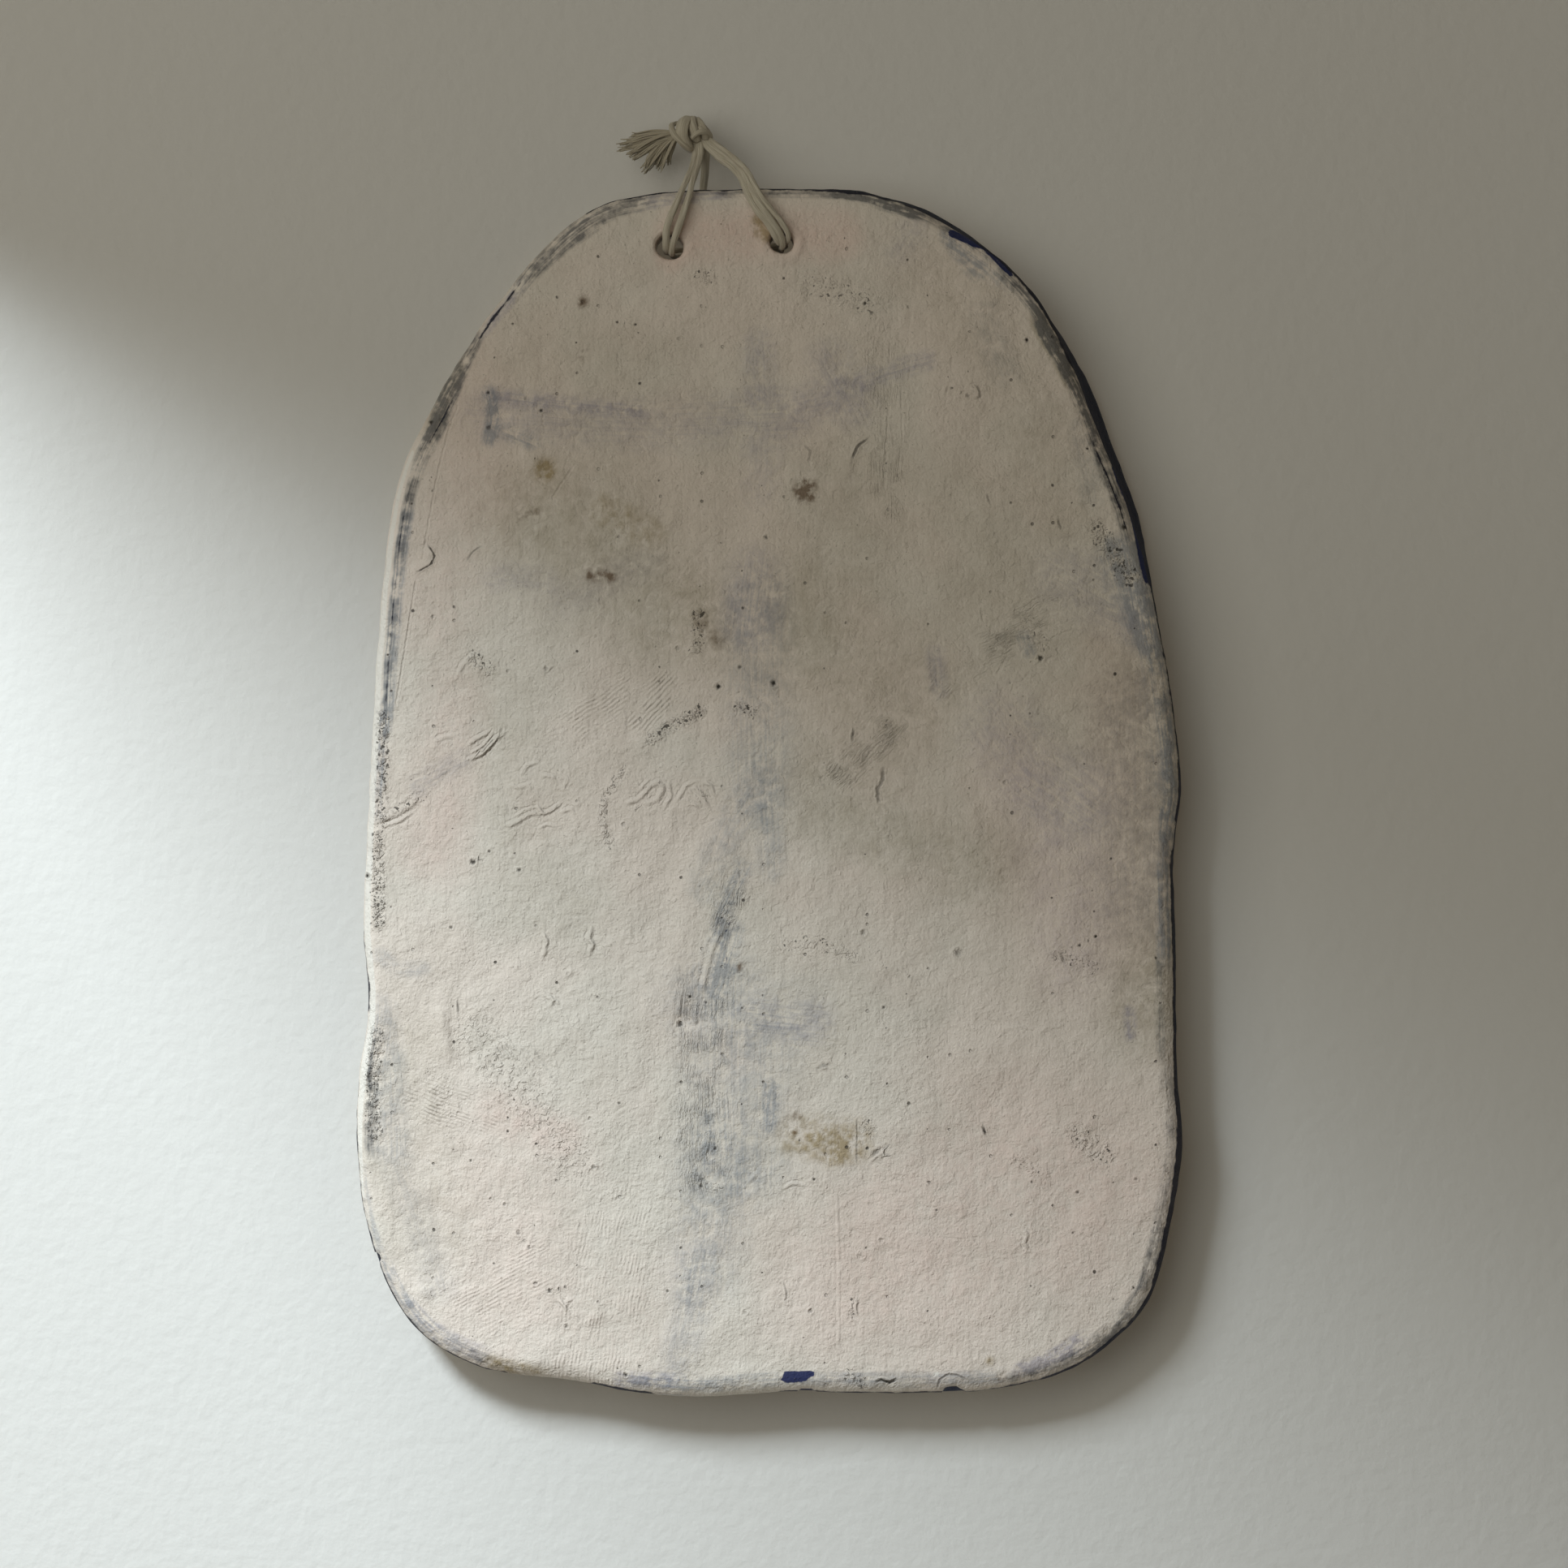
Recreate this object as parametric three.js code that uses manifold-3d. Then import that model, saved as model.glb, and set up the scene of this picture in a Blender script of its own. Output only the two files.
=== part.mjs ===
// A small hand-cut ceramic wall plaque: a clay slab with a rounded crown and two poked
// holes, hung by a short bundle of cotton yarn that is tied in a knot above the crown.
// Millimetres, +Z up, the front of the slab faces -Y. The origin is the point where the
// cord hangs, and the plaque's back lies a little in front of the plane y = 0.

import * as THREE from 'three';
import { ParametricGeometry } from 'three/addons/geometries/ParametricGeometry.js';
import { mergeVertices } from 'three/addons/utils/BufferGeometryUtils.js';
import Module from 'manifold-3d';

const wasm = await Module();
wasm.setup();

// Slab sizes
const SLAB_THICKNESS = 6.5;
const BACK_GAP = 1.8;
const BACK_Y = -BACK_GAP;
const FRONT_Y = BACK_Y - SLAB_THICKNESS;
const SLAB_MIDDLE = { x: 7.6, z: -73 };
const BACK_ROUNDING = 0.5;
const BEVEL_DROP = 1.2;
const BEVEL_WIDTH = 1.4;
const BEVEL_EXTRA_AT_FOOT = 0.9;
const BEVEL_EXTRA_ON_RIGHT = 0.5;
const PILLOW_RISE = 0.3;
const STEPS_PER_OUTLINE_POINT = 3;
const FACE_RINGS = 10;

// The cut outline seen from the front, as x and z, clockwise from the left of the crown.
// A smooth closed curve runs through these points.
const OUTLINE_POINTS = [
  [-6.3, -6.1], [1.3, -5.6], [11.5, -5.5], [18.5, -5.7],
  [25.6, -7.7], [32.1, -12.0], [37.9, -18.1], [43.0, -26.3],
  [46.2, -34.4], [49.0, -42.3], [51.0, -52.7], [52.8, -63.1],
  [53.7, -72.2], [52.9, -80.3], [53.1, -91.1], [53.3, -104.6],
  [53.9, -112.1], [52.8, -120.1], [50.3, -129.2], [45.6, -134.6],
  [39.1, -138.3], [30.4, -139.9], [19.8, -140.1], [9.3, -140.0],
  [-1.2, -140.5], [-8.2, -139.9], [-15.1, -138.5], [-23.9, -137.4],
  [-31.3, -133.5], [-35.1, -128.2], [-37.4, -121.6], [-38.6, -113.6],
  [-38.5, -105.0], [-37.4, -97.2], [-37.9, -88.1], [-37.5, -77.4],
  [-36.9, -66.1], [-36.2, -54.7], [-35.1, -44.0], [-33.5, -36.7],
  [-29.7, -28.9], [-24.5, -20.5], [-18.4, -12.8], [-12.5, -8.0],
];

// Places where the slab's edge leans out towards the back, by how much and over what reach
const LEANING_EDGES = [
  { x: 26.5, z: -8.5, amount: 0.9, reach: 7 },
  { x: 44.0, z: -29.5, amount: 1.3, reach: 9 },
  { x: 49.0, z: -42.0, amount: 0.8, reach: 8 },
  { x: 53.5, z: -90.0, amount: 0.4, reach: 45 },
];

// Knocks along the edge of the slab
const EDGE_CHIPS = [
  { x: -37.0, z: -125.1, radius: 0.9 },
  { x: 11.6, z: -140.5, radius: 1.0 },
  { x: 27.9, z: -140.4, radius: 1.1 },
  { x: -36.6, z: -49.2, radius: 0.7 },
];

// Holes poked through the clay, each a little wider where the tool went in and came out
const HOLE_SIDES = 24;
const LEFT_HOLE = { x: -3.65, z: -12.1, radius: 1.5, frontFlare: 0.4, backFlare: 0.25 };
const RIGHT_HOLE = { x: 8.85, z: -11.65, radius: 1.28, frontFlare: 0.3, backFlare: 0.25 };
const FLARE_DEPTH = 0.6;

// Cord sizes
const CORD_DIAMETER = 1.3;
const YARN_DIAMETER = 0.75;
const CORD_SIDES = 8;
const CORD_STEPS = 60;
const YARN_STEPS = 16;

// The cord from the knot down the left leg, through the left hole, across the back,
// through the right hole and up the right leg to the knot
const CORD_ROUTE = [
  [-0.6, -4.4, -1.35], [-0.9, -5.4, -2.6], [-1.2, -7.0, -4.2], [-1.6, -8.7, -5.9],
  [-2.1, -9.35, -7.6], [-2.8, -9.4, -9.3], [-3.35, -9.3, -10.9], [-3.6, -8.6, -11.9],
  [-3.65, -7.4, -12.3], [-3.65, -4.8, -12.35], [-3.65, -2.9, -12.35], [-3.4, -1.5, -12.3],
  [-2.6, -0.9, -12.25], [-0.6, -0.85, -12.15], [2.6, -0.85, -12.0], [5.6, -0.85, -11.85],
  [7.6, -0.95, -11.75], [8.55, -1.7, -11.7], [8.8, -3.0, -11.7], [8.85, -5.0, -11.7],
  [8.85, -7.2, -11.7], [8.7, -8.5, -11.35], [8.15, -9.3, -10.5], [7.4, -9.5, -9.3],
  [6.4, -9.45, -8.0], [5.65, -9.1, -6.5], [4.9, -7.95, -5.0], [3.85, -6.5, -3.4],
  [2.5, -5.4, -1.9], [1.4, -4.7, -0.8],
];

// The yarn that drops from the knot behind the top edge of the slab
const BACK_YARN_ROUTE = [
  [0.4, -3.3, -1.5], [0.3, -2.5, -2.8], [0.15, -1.6, -4.3],
  [0.0, -1.0, -5.9], [-0.4, -0.9, -8.2], [-1.1, -0.9, -10.9],
];

// Knot and frayed tail. The tail's bunches fan out from left to downwards.
const KNOT_MIDDLE = { x: -1.45, y: -4.0, z: 0.95 };
const KNOT_HALF_SIZE = { x: 2.1, y: 1.7, z: 1.8 };
const KNOT_WRAPS = [
  { x: -2.6, z: 0.75, radius: 1.2, strand: 0.6, lean: 0.45 },
  { x: -0.4, z: 1.0, radius: 1.15, strand: 0.6, lean: -0.35 },
];
const WRAP_STRAND_SIDES = 8;
const WRAP_STEPS = 24;
const TAIL_ROOT = { x: -3.1, y: -4.1, z: 0.6 };
const TAIL_LOBES = [
  { angle: 193, length: 5.4, forward: 0.0 },
  { angle: 203, length: 4.9, forward: 0.35 },
  { angle: 216, length: 4.4, forward: 0.1 },
  { angle: 231, length: 4.1, forward: -0.25 },
  { angle: 245, length: 3.5, forward: 0.2 },
];
const TAIL_LOBE_RADIUS = 0.45;

/** Joins a geometry's shared corners, drops triangles that shrink to a line at a pole,
 *  and makes a solid of the rest. */
function toSolid(geometry) {
  const bare = geometry.clone();
  bare.deleteAttribute('normal');
  bare.deleteAttribute('uv');
  const merged = mergeVertices(bare, 1e-4);
  const corners = merged.index.array;
  const kept = [];
  for (let first = 0; first < corners.length; first += 3) {
    const [a, b, c] = corners.slice(first, first + 3);
    if (a !== b && b !== c && c !== a) {
      kept.push(a, b, c);
    }
  }
  const mesh = new wasm.Mesh({
    numProp: 3,
    vertProperties: new Float32Array(merged.attributes.position.array),
    triVerts: new Uint32Array(kept),
  });
  return new wasm.Manifold(mesh);
}

/** Turns a solid back into a geometry with flat normals. */
function toGeometry(solid) {
  const mesh = solid.getMesh();
  const geometry = new THREE.BufferGeometry();
  geometry.setAttribute('position', new THREE.BufferAttribute(mesh.vertProperties, 3));
  geometry.setIndex(new THREE.BufferAttribute(mesh.triVerts, 1));
  geometry.computeVertexNormals();
  return geometry;
}

/** Makes a smooth curve through a list of points. */
function curveThrough(points, closed) {
  const corners = points.map(([x, y, z]) => new THREE.Vector3(x, y, z));
  return new THREE.CatmullRomCurve3(corners, closed, 'catmullrom', 0.5);
}

/** The direction that a closed curve runs in at a share of its length, across its seam too. */
function headingAlong(curve, share) {
  const small = 1e-4;
  const ahead = curve.getPoint((share + small) % 1);
  const behind = curve.getPoint((share - small + 1) % 1);
  return ahead.sub(behind).normalize();
}

/** How far the front edge stands in from the back edge at a place on the outline. */
function edgeLean(x, z) {
  return LEANING_EDGES.reduce((total, edge) => {
    const away = Math.hypot(x - edge.x, z - edge.z) / edge.reach;
    return total + edge.amount * Math.exp(-away * away);
  }, 0.1);
}

/** Width of the softened front edge: broadest along the foot and on the right. */
function bevelWidth(outwardX, outwardZ) {
  const foot = Math.max(0, -outwardZ);
  const right = Math.max(0, outwardX);
  return BEVEL_WIDTH + BEVEL_EXTRA_AT_FOOT * foot + BEVEL_EXTRA_ON_RIGHT * right * right;
}

/** Gentle unevenness of the rolled face, positive towards the viewer. */
function faceRise(x, z, inward) {
  const pillow = PILLOW_RISE * Math.sqrt(inward);
  const longWave = 0.12 * Math.sin(x / 11 + 0.8) * Math.cos(z / 19);
  const crossWave = 0.08 * Math.sin((x + z) / 13);
  return pillow + (longWave + crossWave) * inward;
}

/** The stations that carry the outline from the middle of the back, round the edge, to the
 *  middle of the front. Each gives how far in from the outline it lies, and its depth. */
function slabStations(lean, bevel) {
  return [
    { inset: BACK_ROUNDING, y: BACK_Y },
    { inset: BACK_ROUNDING * 0.3, y: BACK_Y - BACK_ROUNDING * 0.4 },
    { inset: 0, y: BACK_Y - BACK_ROUNDING * 1.4 },
    { inset: lean * 0.55, y: (BACK_Y + FRONT_Y) / 2 },
    { inset: lean, y: FRONT_Y + BEVEL_DROP },
    { inset: lean + bevel * 0.25, y: FRONT_Y + BEVEL_DROP * 0.5 },
    { inset: lean + bevel * 0.6, y: FRONT_Y + BEVEL_DROP * 0.15 },
    { inset: lean + bevel, y: FRONT_Y },
  ];
}

/** Builds the slab without its holes and knocks. */
function makeSlabBody() {
  const outline = curveThrough(OUTLINE_POINTS.map(([x, z]) => [x, 0, z]), true);
  const around = OUTLINE_POINTS.length * STEPS_PER_OUTLINE_POINT;
  const edgeCount = slabStations(0, 0).length;
  const stacks = edgeCount + FACE_RINGS;

  const surface = (u, v, target) => {
    const share = (1 - u) % 1;
    const place = outline.getPoint(share);
    const heading = headingAlong(outline, share);
    const outwardX = -heading.z;
    const outwardZ = heading.x;
    const stations = slabStations(edgeLean(place.x, place.z), bevelWidth(outwardX, outwardZ));
    const step = Math.round(v * stacks);
    if (step === 0) {
      target.set(SLAB_MIDDLE.x, BACK_Y, SLAB_MIDDLE.z);
      return;
    }
    const station = stations[Math.min(step, edgeCount) - 1];
    const x = place.x - outwardX * station.inset;
    const z = place.z - outwardZ * station.inset;
    if (step <= edgeCount) {
      target.set(x, station.y, z);
      return;
    }
    const inward = (step - edgeCount) / FACE_RINGS;
    const faceX = THREE.MathUtils.lerp(x, SLAB_MIDDLE.x, inward);
    const faceZ = THREE.MathUtils.lerp(z, SLAB_MIDDLE.z, inward);
    target.set(faceX, FRONT_Y - faceRise(faceX, faceZ, inward), faceZ);
  };
  return toSolid(new ParametricGeometry(surface, around, stacks));
}

/** The tool that pokes a hole: straight inside, wider at both faces. */
function makeHoleCutter(hole) {
  const wide = hole.radius + hole.frontFlare;
  const wideBehind = hole.radius + hole.backFlare;
  const profile = [
    new THREE.Vector2(0, FRONT_Y - 1),
    new THREE.Vector2(wide, FRONT_Y - 1),
    new THREE.Vector2(wide, FRONT_Y),
    new THREE.Vector2(hole.radius, FRONT_Y + FLARE_DEPTH),
    new THREE.Vector2(hole.radius, BACK_Y - FLARE_DEPTH),
    new THREE.Vector2(wideBehind, BACK_Y),
    new THREE.Vector2(wideBehind, BACK_Y + 1),
    new THREE.Vector2(0, BACK_Y + 1),
  ];
  const cutter = new THREE.LatheGeometry(profile, HOLE_SIDES);
  cutter.translate(hole.x, 0, hole.z);
  return toSolid(cutter);
}

/** A rough lump that knocks a chip out of the front edge. */
function makeChipCutter(chip) {
  const lump = new THREE.IcosahedronGeometry(chip.radius, 1);
  lump.scale(1.3, 1, 1);
  lump.translate(chip.x, FRONT_Y + BEVEL_DROP * 0.7, chip.z);
  return toSolid(lump);
}

/** The finished slab: body, holes and knocks. */
function makeSlab() {
  let slab = makeSlabBody();
  for (const hole of [LEFT_HOLE, RIGHT_HOLE]) {
    slab = slab.subtract(makeHoleCutter(hole));
  }
  for (const chip of EDGE_CHIPS) {
    slab = slab.subtract(makeChipCutter(chip));
  }
  return toGeometry(slab);
}

/** A round cord of a given diameter along a route. */
function makeCord(route, diameter, steps) {
  const section = new THREE.Shape();
  const corners = Array.from({ length: CORD_SIDES }, (_, side) => {
    const angle = (side / CORD_SIDES) * Math.PI * 2;
    return new THREE.Vector2(Math.cos(angle), Math.sin(angle)).multiplyScalar(diameter / 2);
  });
  section.setFromPoints(corners);
  const tube = new THREE.ExtrudeGeometry(section, {
    steps,
    bevelEnabled: false,
    extrudePath: curveThrough(route, false),
  });
  return toGeometry(toSolid(tube));
}

/** The knot's body: a lump of yarn with a wrap at each side of it. */
function makeKnotBody() {
  const lump = new THREE.SphereGeometry(1, 20, 12);
  lump.scale(KNOT_HALF_SIZE.x, KNOT_HALF_SIZE.y, KNOT_HALF_SIZE.z);
  lump.translate(KNOT_MIDDLE.x, KNOT_MIDDLE.y, KNOT_MIDDLE.z);
  return KNOT_WRAPS.reduce((body, wrap) => {
    const ring = new THREE.TorusGeometry(wrap.radius, wrap.strand, WRAP_STRAND_SIDES, WRAP_STEPS);
    ring.rotateY(Math.PI / 2);
    ring.rotateY(-wrap.lean);
    ring.translate(wrap.x, KNOT_MIDDLE.y, wrap.z);
    return body.add(toSolid(ring));
  }, toSolid(lump));
}

/** One bunch of cut yarn ends in the tail, from the knot outwards. */
function makeTailLobe(lobe) {
  const angle = THREE.MathUtils.degToRad(lobe.angle);
  const heading = new THREE.Vector3(Math.cos(angle), -0.1 * lobe.forward, Math.sin(angle));
  heading.normalize();
  const bunch = new THREE.CapsuleGeometry(TAIL_LOBE_RADIUS, lobe.length, 3, 8);
  bunch.applyQuaternion(
    new THREE.Quaternion().setFromUnitVectors(new THREE.Vector3(0, 1, 0), heading),
  );
  const middle = heading.multiplyScalar(lobe.length / 2);
  bunch.translate(
    TAIL_ROOT.x + middle.x,
    TAIL_ROOT.y - lobe.forward + middle.y,
    TAIL_ROOT.z + middle.z,
  );
  return toSolid(bunch);
}

/** The knot with its frayed tail. */
function makeKnot() {
  return toGeometry(
    TAIL_LOBES.reduce((knot, lobe) => knot.add(makeTailLobe(lobe)), makeKnotBody()),
  );
}

const firedSlip = new THREE.MeshStandardMaterial({ color: '#c6bfb2', roughness: 0.85, metalness: 0 });
const cottonYarn = new THREE.MeshStandardMaterial({ color: '#b9b3a0', roughness: 0.95, metalness: 0 });

const plaque = new THREE.Group();

/** Adds one named piece to the plaque. */
function addPiece(name, geometry, material) {
  const piece = new THREE.Mesh(geometry, material);
  piece.name = name;
  plaque.add(piece);
}

addPiece('slab', makeSlab(), firedSlip);
addPiece('hanging_cord', makeCord(CORD_ROUTE, CORD_DIAMETER, CORD_STEPS), cottonYarn);
addPiece('back_yarn', makeCord(BACK_YARN_ROUTE, YARN_DIAMETER, YARN_STEPS), cottonYarn);
addPiece('cord_knot', makeKnot(), cottonYarn);

export default plaque;
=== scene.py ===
"""A hand-cut ceramic wall plaque with brushed pale slip over cobalt, hung on cotton yarn.

The slab, its yarns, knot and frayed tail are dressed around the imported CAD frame. Every
length in the classes is in millimetres in the frame's own axes (+Z up, the front towards
-Y) unless it is called a pixel, and it is turned to metres when a mesh is made.
"""

import logging
import math
from dataclasses import dataclass, field
from enum import Enum
from functools import partial
from typing import Sequence

import bpy
import numpy as np
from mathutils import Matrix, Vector


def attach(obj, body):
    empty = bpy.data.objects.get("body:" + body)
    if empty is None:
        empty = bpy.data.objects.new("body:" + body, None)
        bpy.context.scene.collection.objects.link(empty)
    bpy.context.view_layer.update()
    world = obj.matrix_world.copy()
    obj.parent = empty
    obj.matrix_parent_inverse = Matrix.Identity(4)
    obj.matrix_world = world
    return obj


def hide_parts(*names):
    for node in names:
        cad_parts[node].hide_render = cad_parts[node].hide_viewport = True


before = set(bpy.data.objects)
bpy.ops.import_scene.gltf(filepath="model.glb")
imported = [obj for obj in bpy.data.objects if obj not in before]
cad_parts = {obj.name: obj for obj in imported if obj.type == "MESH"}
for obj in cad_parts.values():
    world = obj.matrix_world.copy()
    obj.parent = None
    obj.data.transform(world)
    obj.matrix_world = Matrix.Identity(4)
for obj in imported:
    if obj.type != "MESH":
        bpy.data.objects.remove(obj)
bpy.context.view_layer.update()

log = logging.getLogger("plaque")

MM = 0.001
BODY = "root"

Array = np.ndarray
Pair = tuple[float, float]
Pixel = tuple[float, float]
Point = tuple[float, float, float]


class Slot(Enum):
    """The record's material slots."""

    CLAY = "fired_clay"
    YARN = "cotton_yarn"


class Paint(Enum):
    """What lies on the clay, each kept as one vertex mask of the slab; some also paint shade, a
    shadow line or a highlight on the edges.
    """

    WASH = "wash"
    # Grey wash; on the bevel strip it is also painted shade
    SHADE = "shade"
    LILAC = "lilac"
    COBALT = "cobalt"
    # Navy underglaze; along the foot and the lower left it also draws a painted shadow line at the
    # edge
    NAVY_AND_EDGE_SHADOW = "navy_and_edge_shadow"
    # Smoky grey-brown paint; along the right edge it is painted shade
    SMOKE = "smoke_and_shade"
    BLUSH = "blush"
    OCHRE = "ochre"
    RUST = "rust"
    # Grit in pits and tears; in the cord holes' bores it is painted shade
    GRIT_AND_HOLE_SHADE = "grit"
    # Chalky white; along the left rim it is a painted highlight
    CHALK_AND_HIGHLIGHT = "chalk_and_highlight"


class Relief(Enum):
    """How a mark stands in the slip."""

    DENT = "a smooth hollow or, with a negative depth, a smooth lump"
    FOLD = "a raised fold, steep on its left side and gentle on its right"
    SCRATCH = "a fine sharp line with a burr on each side"
    CREASE = "a fine raised line"
    TORN = "a patch of torn, crumbly slip"


WASH, SHADE, LILAC, COBALT, NAVY_AND_EDGE_SHADOW, SMOKE, BLUSH, OCHRE, RUST, GRIT_AND_HOLE_SHADE, CHALK_AND_HIGHLIGHT = Paint
DENT, FOLD, SCRATCH, CREASE, TORN = Relief

OPAQUE = (COBALT, NAVY_AND_EDGE_SHADOW, CHALK_AND_HIGHLIGHT)
# An opaque paint's mask away from it, in millimetres
OUTSIDE = -4.0
# A fine mark's place away from it, in half widths
FAR = 9.0
FINE_LAYERS = 3


def srgb(code: str) -> tuple[float, float, float, float]:
    """Turns an sRGB hex value to the linear colour that a shader socket takes.

    Args:
        code: six hex digits after a hash.

    Returns:
        Linear red, green, blue and an alpha of 1.
    """
    parts = [int(code[i:i + 2], 16) / 255 for i in (1, 3, 5)]
    red, green, blue = (
        p / 12.92 if p <= 0.04045 else ((p + 0.055) / 1.055) ** 2.4 for p in parts
    )
    return (red, green, blue, 1.0)


def add_node(
    material: bpy.types.Material,
    kind: str,
    *values: object,
    out: str | int = 0,
    inputs: dict[str | int, object] | None = None,
    **settings: object,
) -> bpy.types.NodeSocket:
    """Adds one shader node with its settings and links.

    Args:
        material: the material that the node goes in.
        kind: the node's type, without the words that every shader node's type starts with.
        values: a value or another node's output for each of the first inputs in turn.
        out: the output that is wanted.
        inputs: a value or another node's output for each named or numbered input.
        settings: attributes of the node.

    Returns:
        The wanted output, or the first one's place on a node that has none.
    """
    tree = material.node_tree
    node = tree.nodes.new("ShaderNode" + kind)
    for name, value in settings.items():
        setattr(node, name, value)
    for name, value in {**dict(enumerate(values)), **(inputs or {})}.items():
        if isinstance(value, bpy.types.NodeSocket):
            tree.links.new(value, node.inputs[name])
        else:
            node.inputs[name].default_value = value
    return node.outputs[out] if node.outputs else None


def empty_material(name: str) -> bpy.types.Material:
    """Makes a material with nodes on and none in it.

    Args:
        name: the material's name.

    Returns:
        The material.
    """
    material = bpy.data.materials.new(name)
    material.use_nodes = True
    material.node_tree.nodes.clear()
    return material


def finish_material(
    material: bpy.types.Material, shader: bpy.types.NodeSocket
) -> bpy.types.Material:
    """Joins a shader to the material's output and hands the material back."""
    add_node(material, "OutputMaterial", inputs={"Surface": shader})
    return material


def smooth_step(low: float, high: float, value: Array) -> Array:
    """Rises from 0 at low to 1 at high along 3t^2 - 2t^3."""
    t = np.clip((value - low) / (high - low), 0, 1)
    return t * t * (3 - 2 * t)


def value_noise(x: Array, z: Array, size: float, seed: int) -> Array:
    """Smooth noise on the plane.

    Random values at the corners of a lattice whose cells are size wide, blended inside
    each cell with the quintic 6t^5 - 15t^4 + 10t^3.

    Args:
        x: first coordinate.
        z: second coordinate.
        size: width of a lattice cell, in the coordinates' unit.
        seed: picks the random values.

    Returns:
        Values from -1 to 1.
    """
    period = 256
    table = np.random.default_rng(seed).uniform(-1, 1, (period, period))
    a, b = x / size, z / size
    column, row = np.floor(a).astype(int), np.floor(b).astype(int)
    s, t = a - column, b - row
    s, t = (v ** 3 * (v * (6 * v - 15) + 10) for v in (s, t))
    c0, c1, r0, r1 = column % period, (column + 1) % period, row % period, (row + 1) % period
    low = table[r0, c0] * (1 - s) + table[r0, c1] * s
    high = table[r1, c0] * (1 - s) + table[r1, c1] * s
    return low * (1 - t) + high * t


def layered_noise(x: Array, z: Array, size: float, octaves: int, seed: int) -> Array:
    """Sum of value noises, each half as wide and half as strong as the last.

    Args:
        x: first coordinate.
        z: second coordinate.
        size: width of the first noise's lattice cell.
        octaves: how many noises.
        seed: picks the random values.

    Returns:
        Values from -2 to 2.
    """
    total = np.zeros_like(x)
    for octave in range(octaves):
        total += value_noise(x, z, size / 2 ** octave, seed + octave) / 2 ** octave
    return total


def walk(path: Array) -> Array:
    """The length along a path at each of its places."""
    return np.concatenate([[0], np.cumsum(np.linalg.norm(np.diff(path, axis=0), axis=1))])


def catmull_rom(corners: Sequence[Array], t: Array) -> tuple[Array, Array]:
    """Places and headings on a Catmull-Rom curve.

    Between its middle two corners it is the cubic with their places, and with half the
    chord between each one's neighbours as its tangent.

    Args:
        corners: four points that follow each other on the curve, for each place.
        t: how far each place is between the middle two, from 0 to 1.

    Returns:
        The places, and the curve's tangents there.
    """
    before, here, after, beyond = corners
    out, into = (after - before) / 2, (beyond - here) / 2
    place = (
        (2 * t ** 3 - 3 * t ** 2 + 1) * here + (t ** 3 - 2 * t ** 2 + t) * out
        + (3 * t ** 2 - 2 * t ** 3) * after + (t ** 3 - t ** 2) * into
    )
    heading = (
        (6 * t ** 2 - 6 * t) * here + (3 * t ** 2 - 4 * t + 1) * out
        + (6 * t - 6 * t ** 2) * after + (3 * t ** 2 - 2 * t) * into
    )
    return place, heading


@dataclass
class Shell:
    """A closed mesh put together from blocks of points and strips of faces."""

    points: list[Array] = field(default_factory=list)
    faces: list[Array] = field(default_factory=list)
    count: int = 0

    def add(self, block: Array) -> Array:
        """Adds points.

        Args:
            block: points in an array of any shape whose last axis is x, y, z.

        Returns:
            Their vertex numbers, in the block's shape.
        """
        shape = block.shape[:-1]
        size = int(np.prod(shape))
        numbers = np.arange(self.count, self.count + size).reshape(shape)
        self.points.append(block.reshape(-1, 3))
        self.count += size
        return numbers

    def quads(self, grid: Array, closed: bool = False, flip: bool = False) -> None:
        """Adds a face between each four neighbours of a grid of vertex numbers.

        Args:
            grid: rows of vertex numbers.
            closed: whether each row runs round to its own start.
            flip: turns the faces over.
        """
        if closed:
            grid = np.concatenate([grid, grid[:, :1]], axis=1)
        corners = [grid[:-1, :-1], grid[:-1, 1:], grid[1:, 1:], grid[1:, :-1]]
        if flip:
            corners.reverse()
        self.faces.append(np.stack([c.ravel() for c in corners], axis=1))

    def halve(self, fine: Array, coarse: Array, flip: bool = False) -> None:
        """Joins a closed ring to one of half as many points.

        Each span of the coarse ring takes three triangles: one on each half of the
        fine ring's span, and one between them.

        Args:
            fine: vertex numbers of the fine ring.
            coarse: vertex numbers of the coarse ring.
            flip: turns the faces over.
        """
        first, middle, last = fine[0::2], fine[1::2], np.roll(fine[0::2], -1)
        after = np.roll(coarse, -1)
        for triple in (
            (first, middle, coarse), (middle, after, coarse), (middle, last, after),
        ):
            self.faces.append(np.stack(triple[::-1] if flip else triple, axis=1))

    def cap(self, ring: Array, flip: bool = False) -> None:
        """Closes a ring with one face."""
        self.faces.append((ring[::-1] if flip else ring).reshape(1, -1))

    def gather(self) -> tuple[Array, list[Array]]:
        """Puts the blocks together.

        Returns:
            All points and faces, without the points that no face uses.
        """
        used = np.zeros(self.count, bool)
        for block in self.faces:
            used[block.ravel()] = True
        renumber = np.cumsum(used) - 1
        return np.concatenate(self.points)[used], [renumber[block] for block in self.faces]


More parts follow.
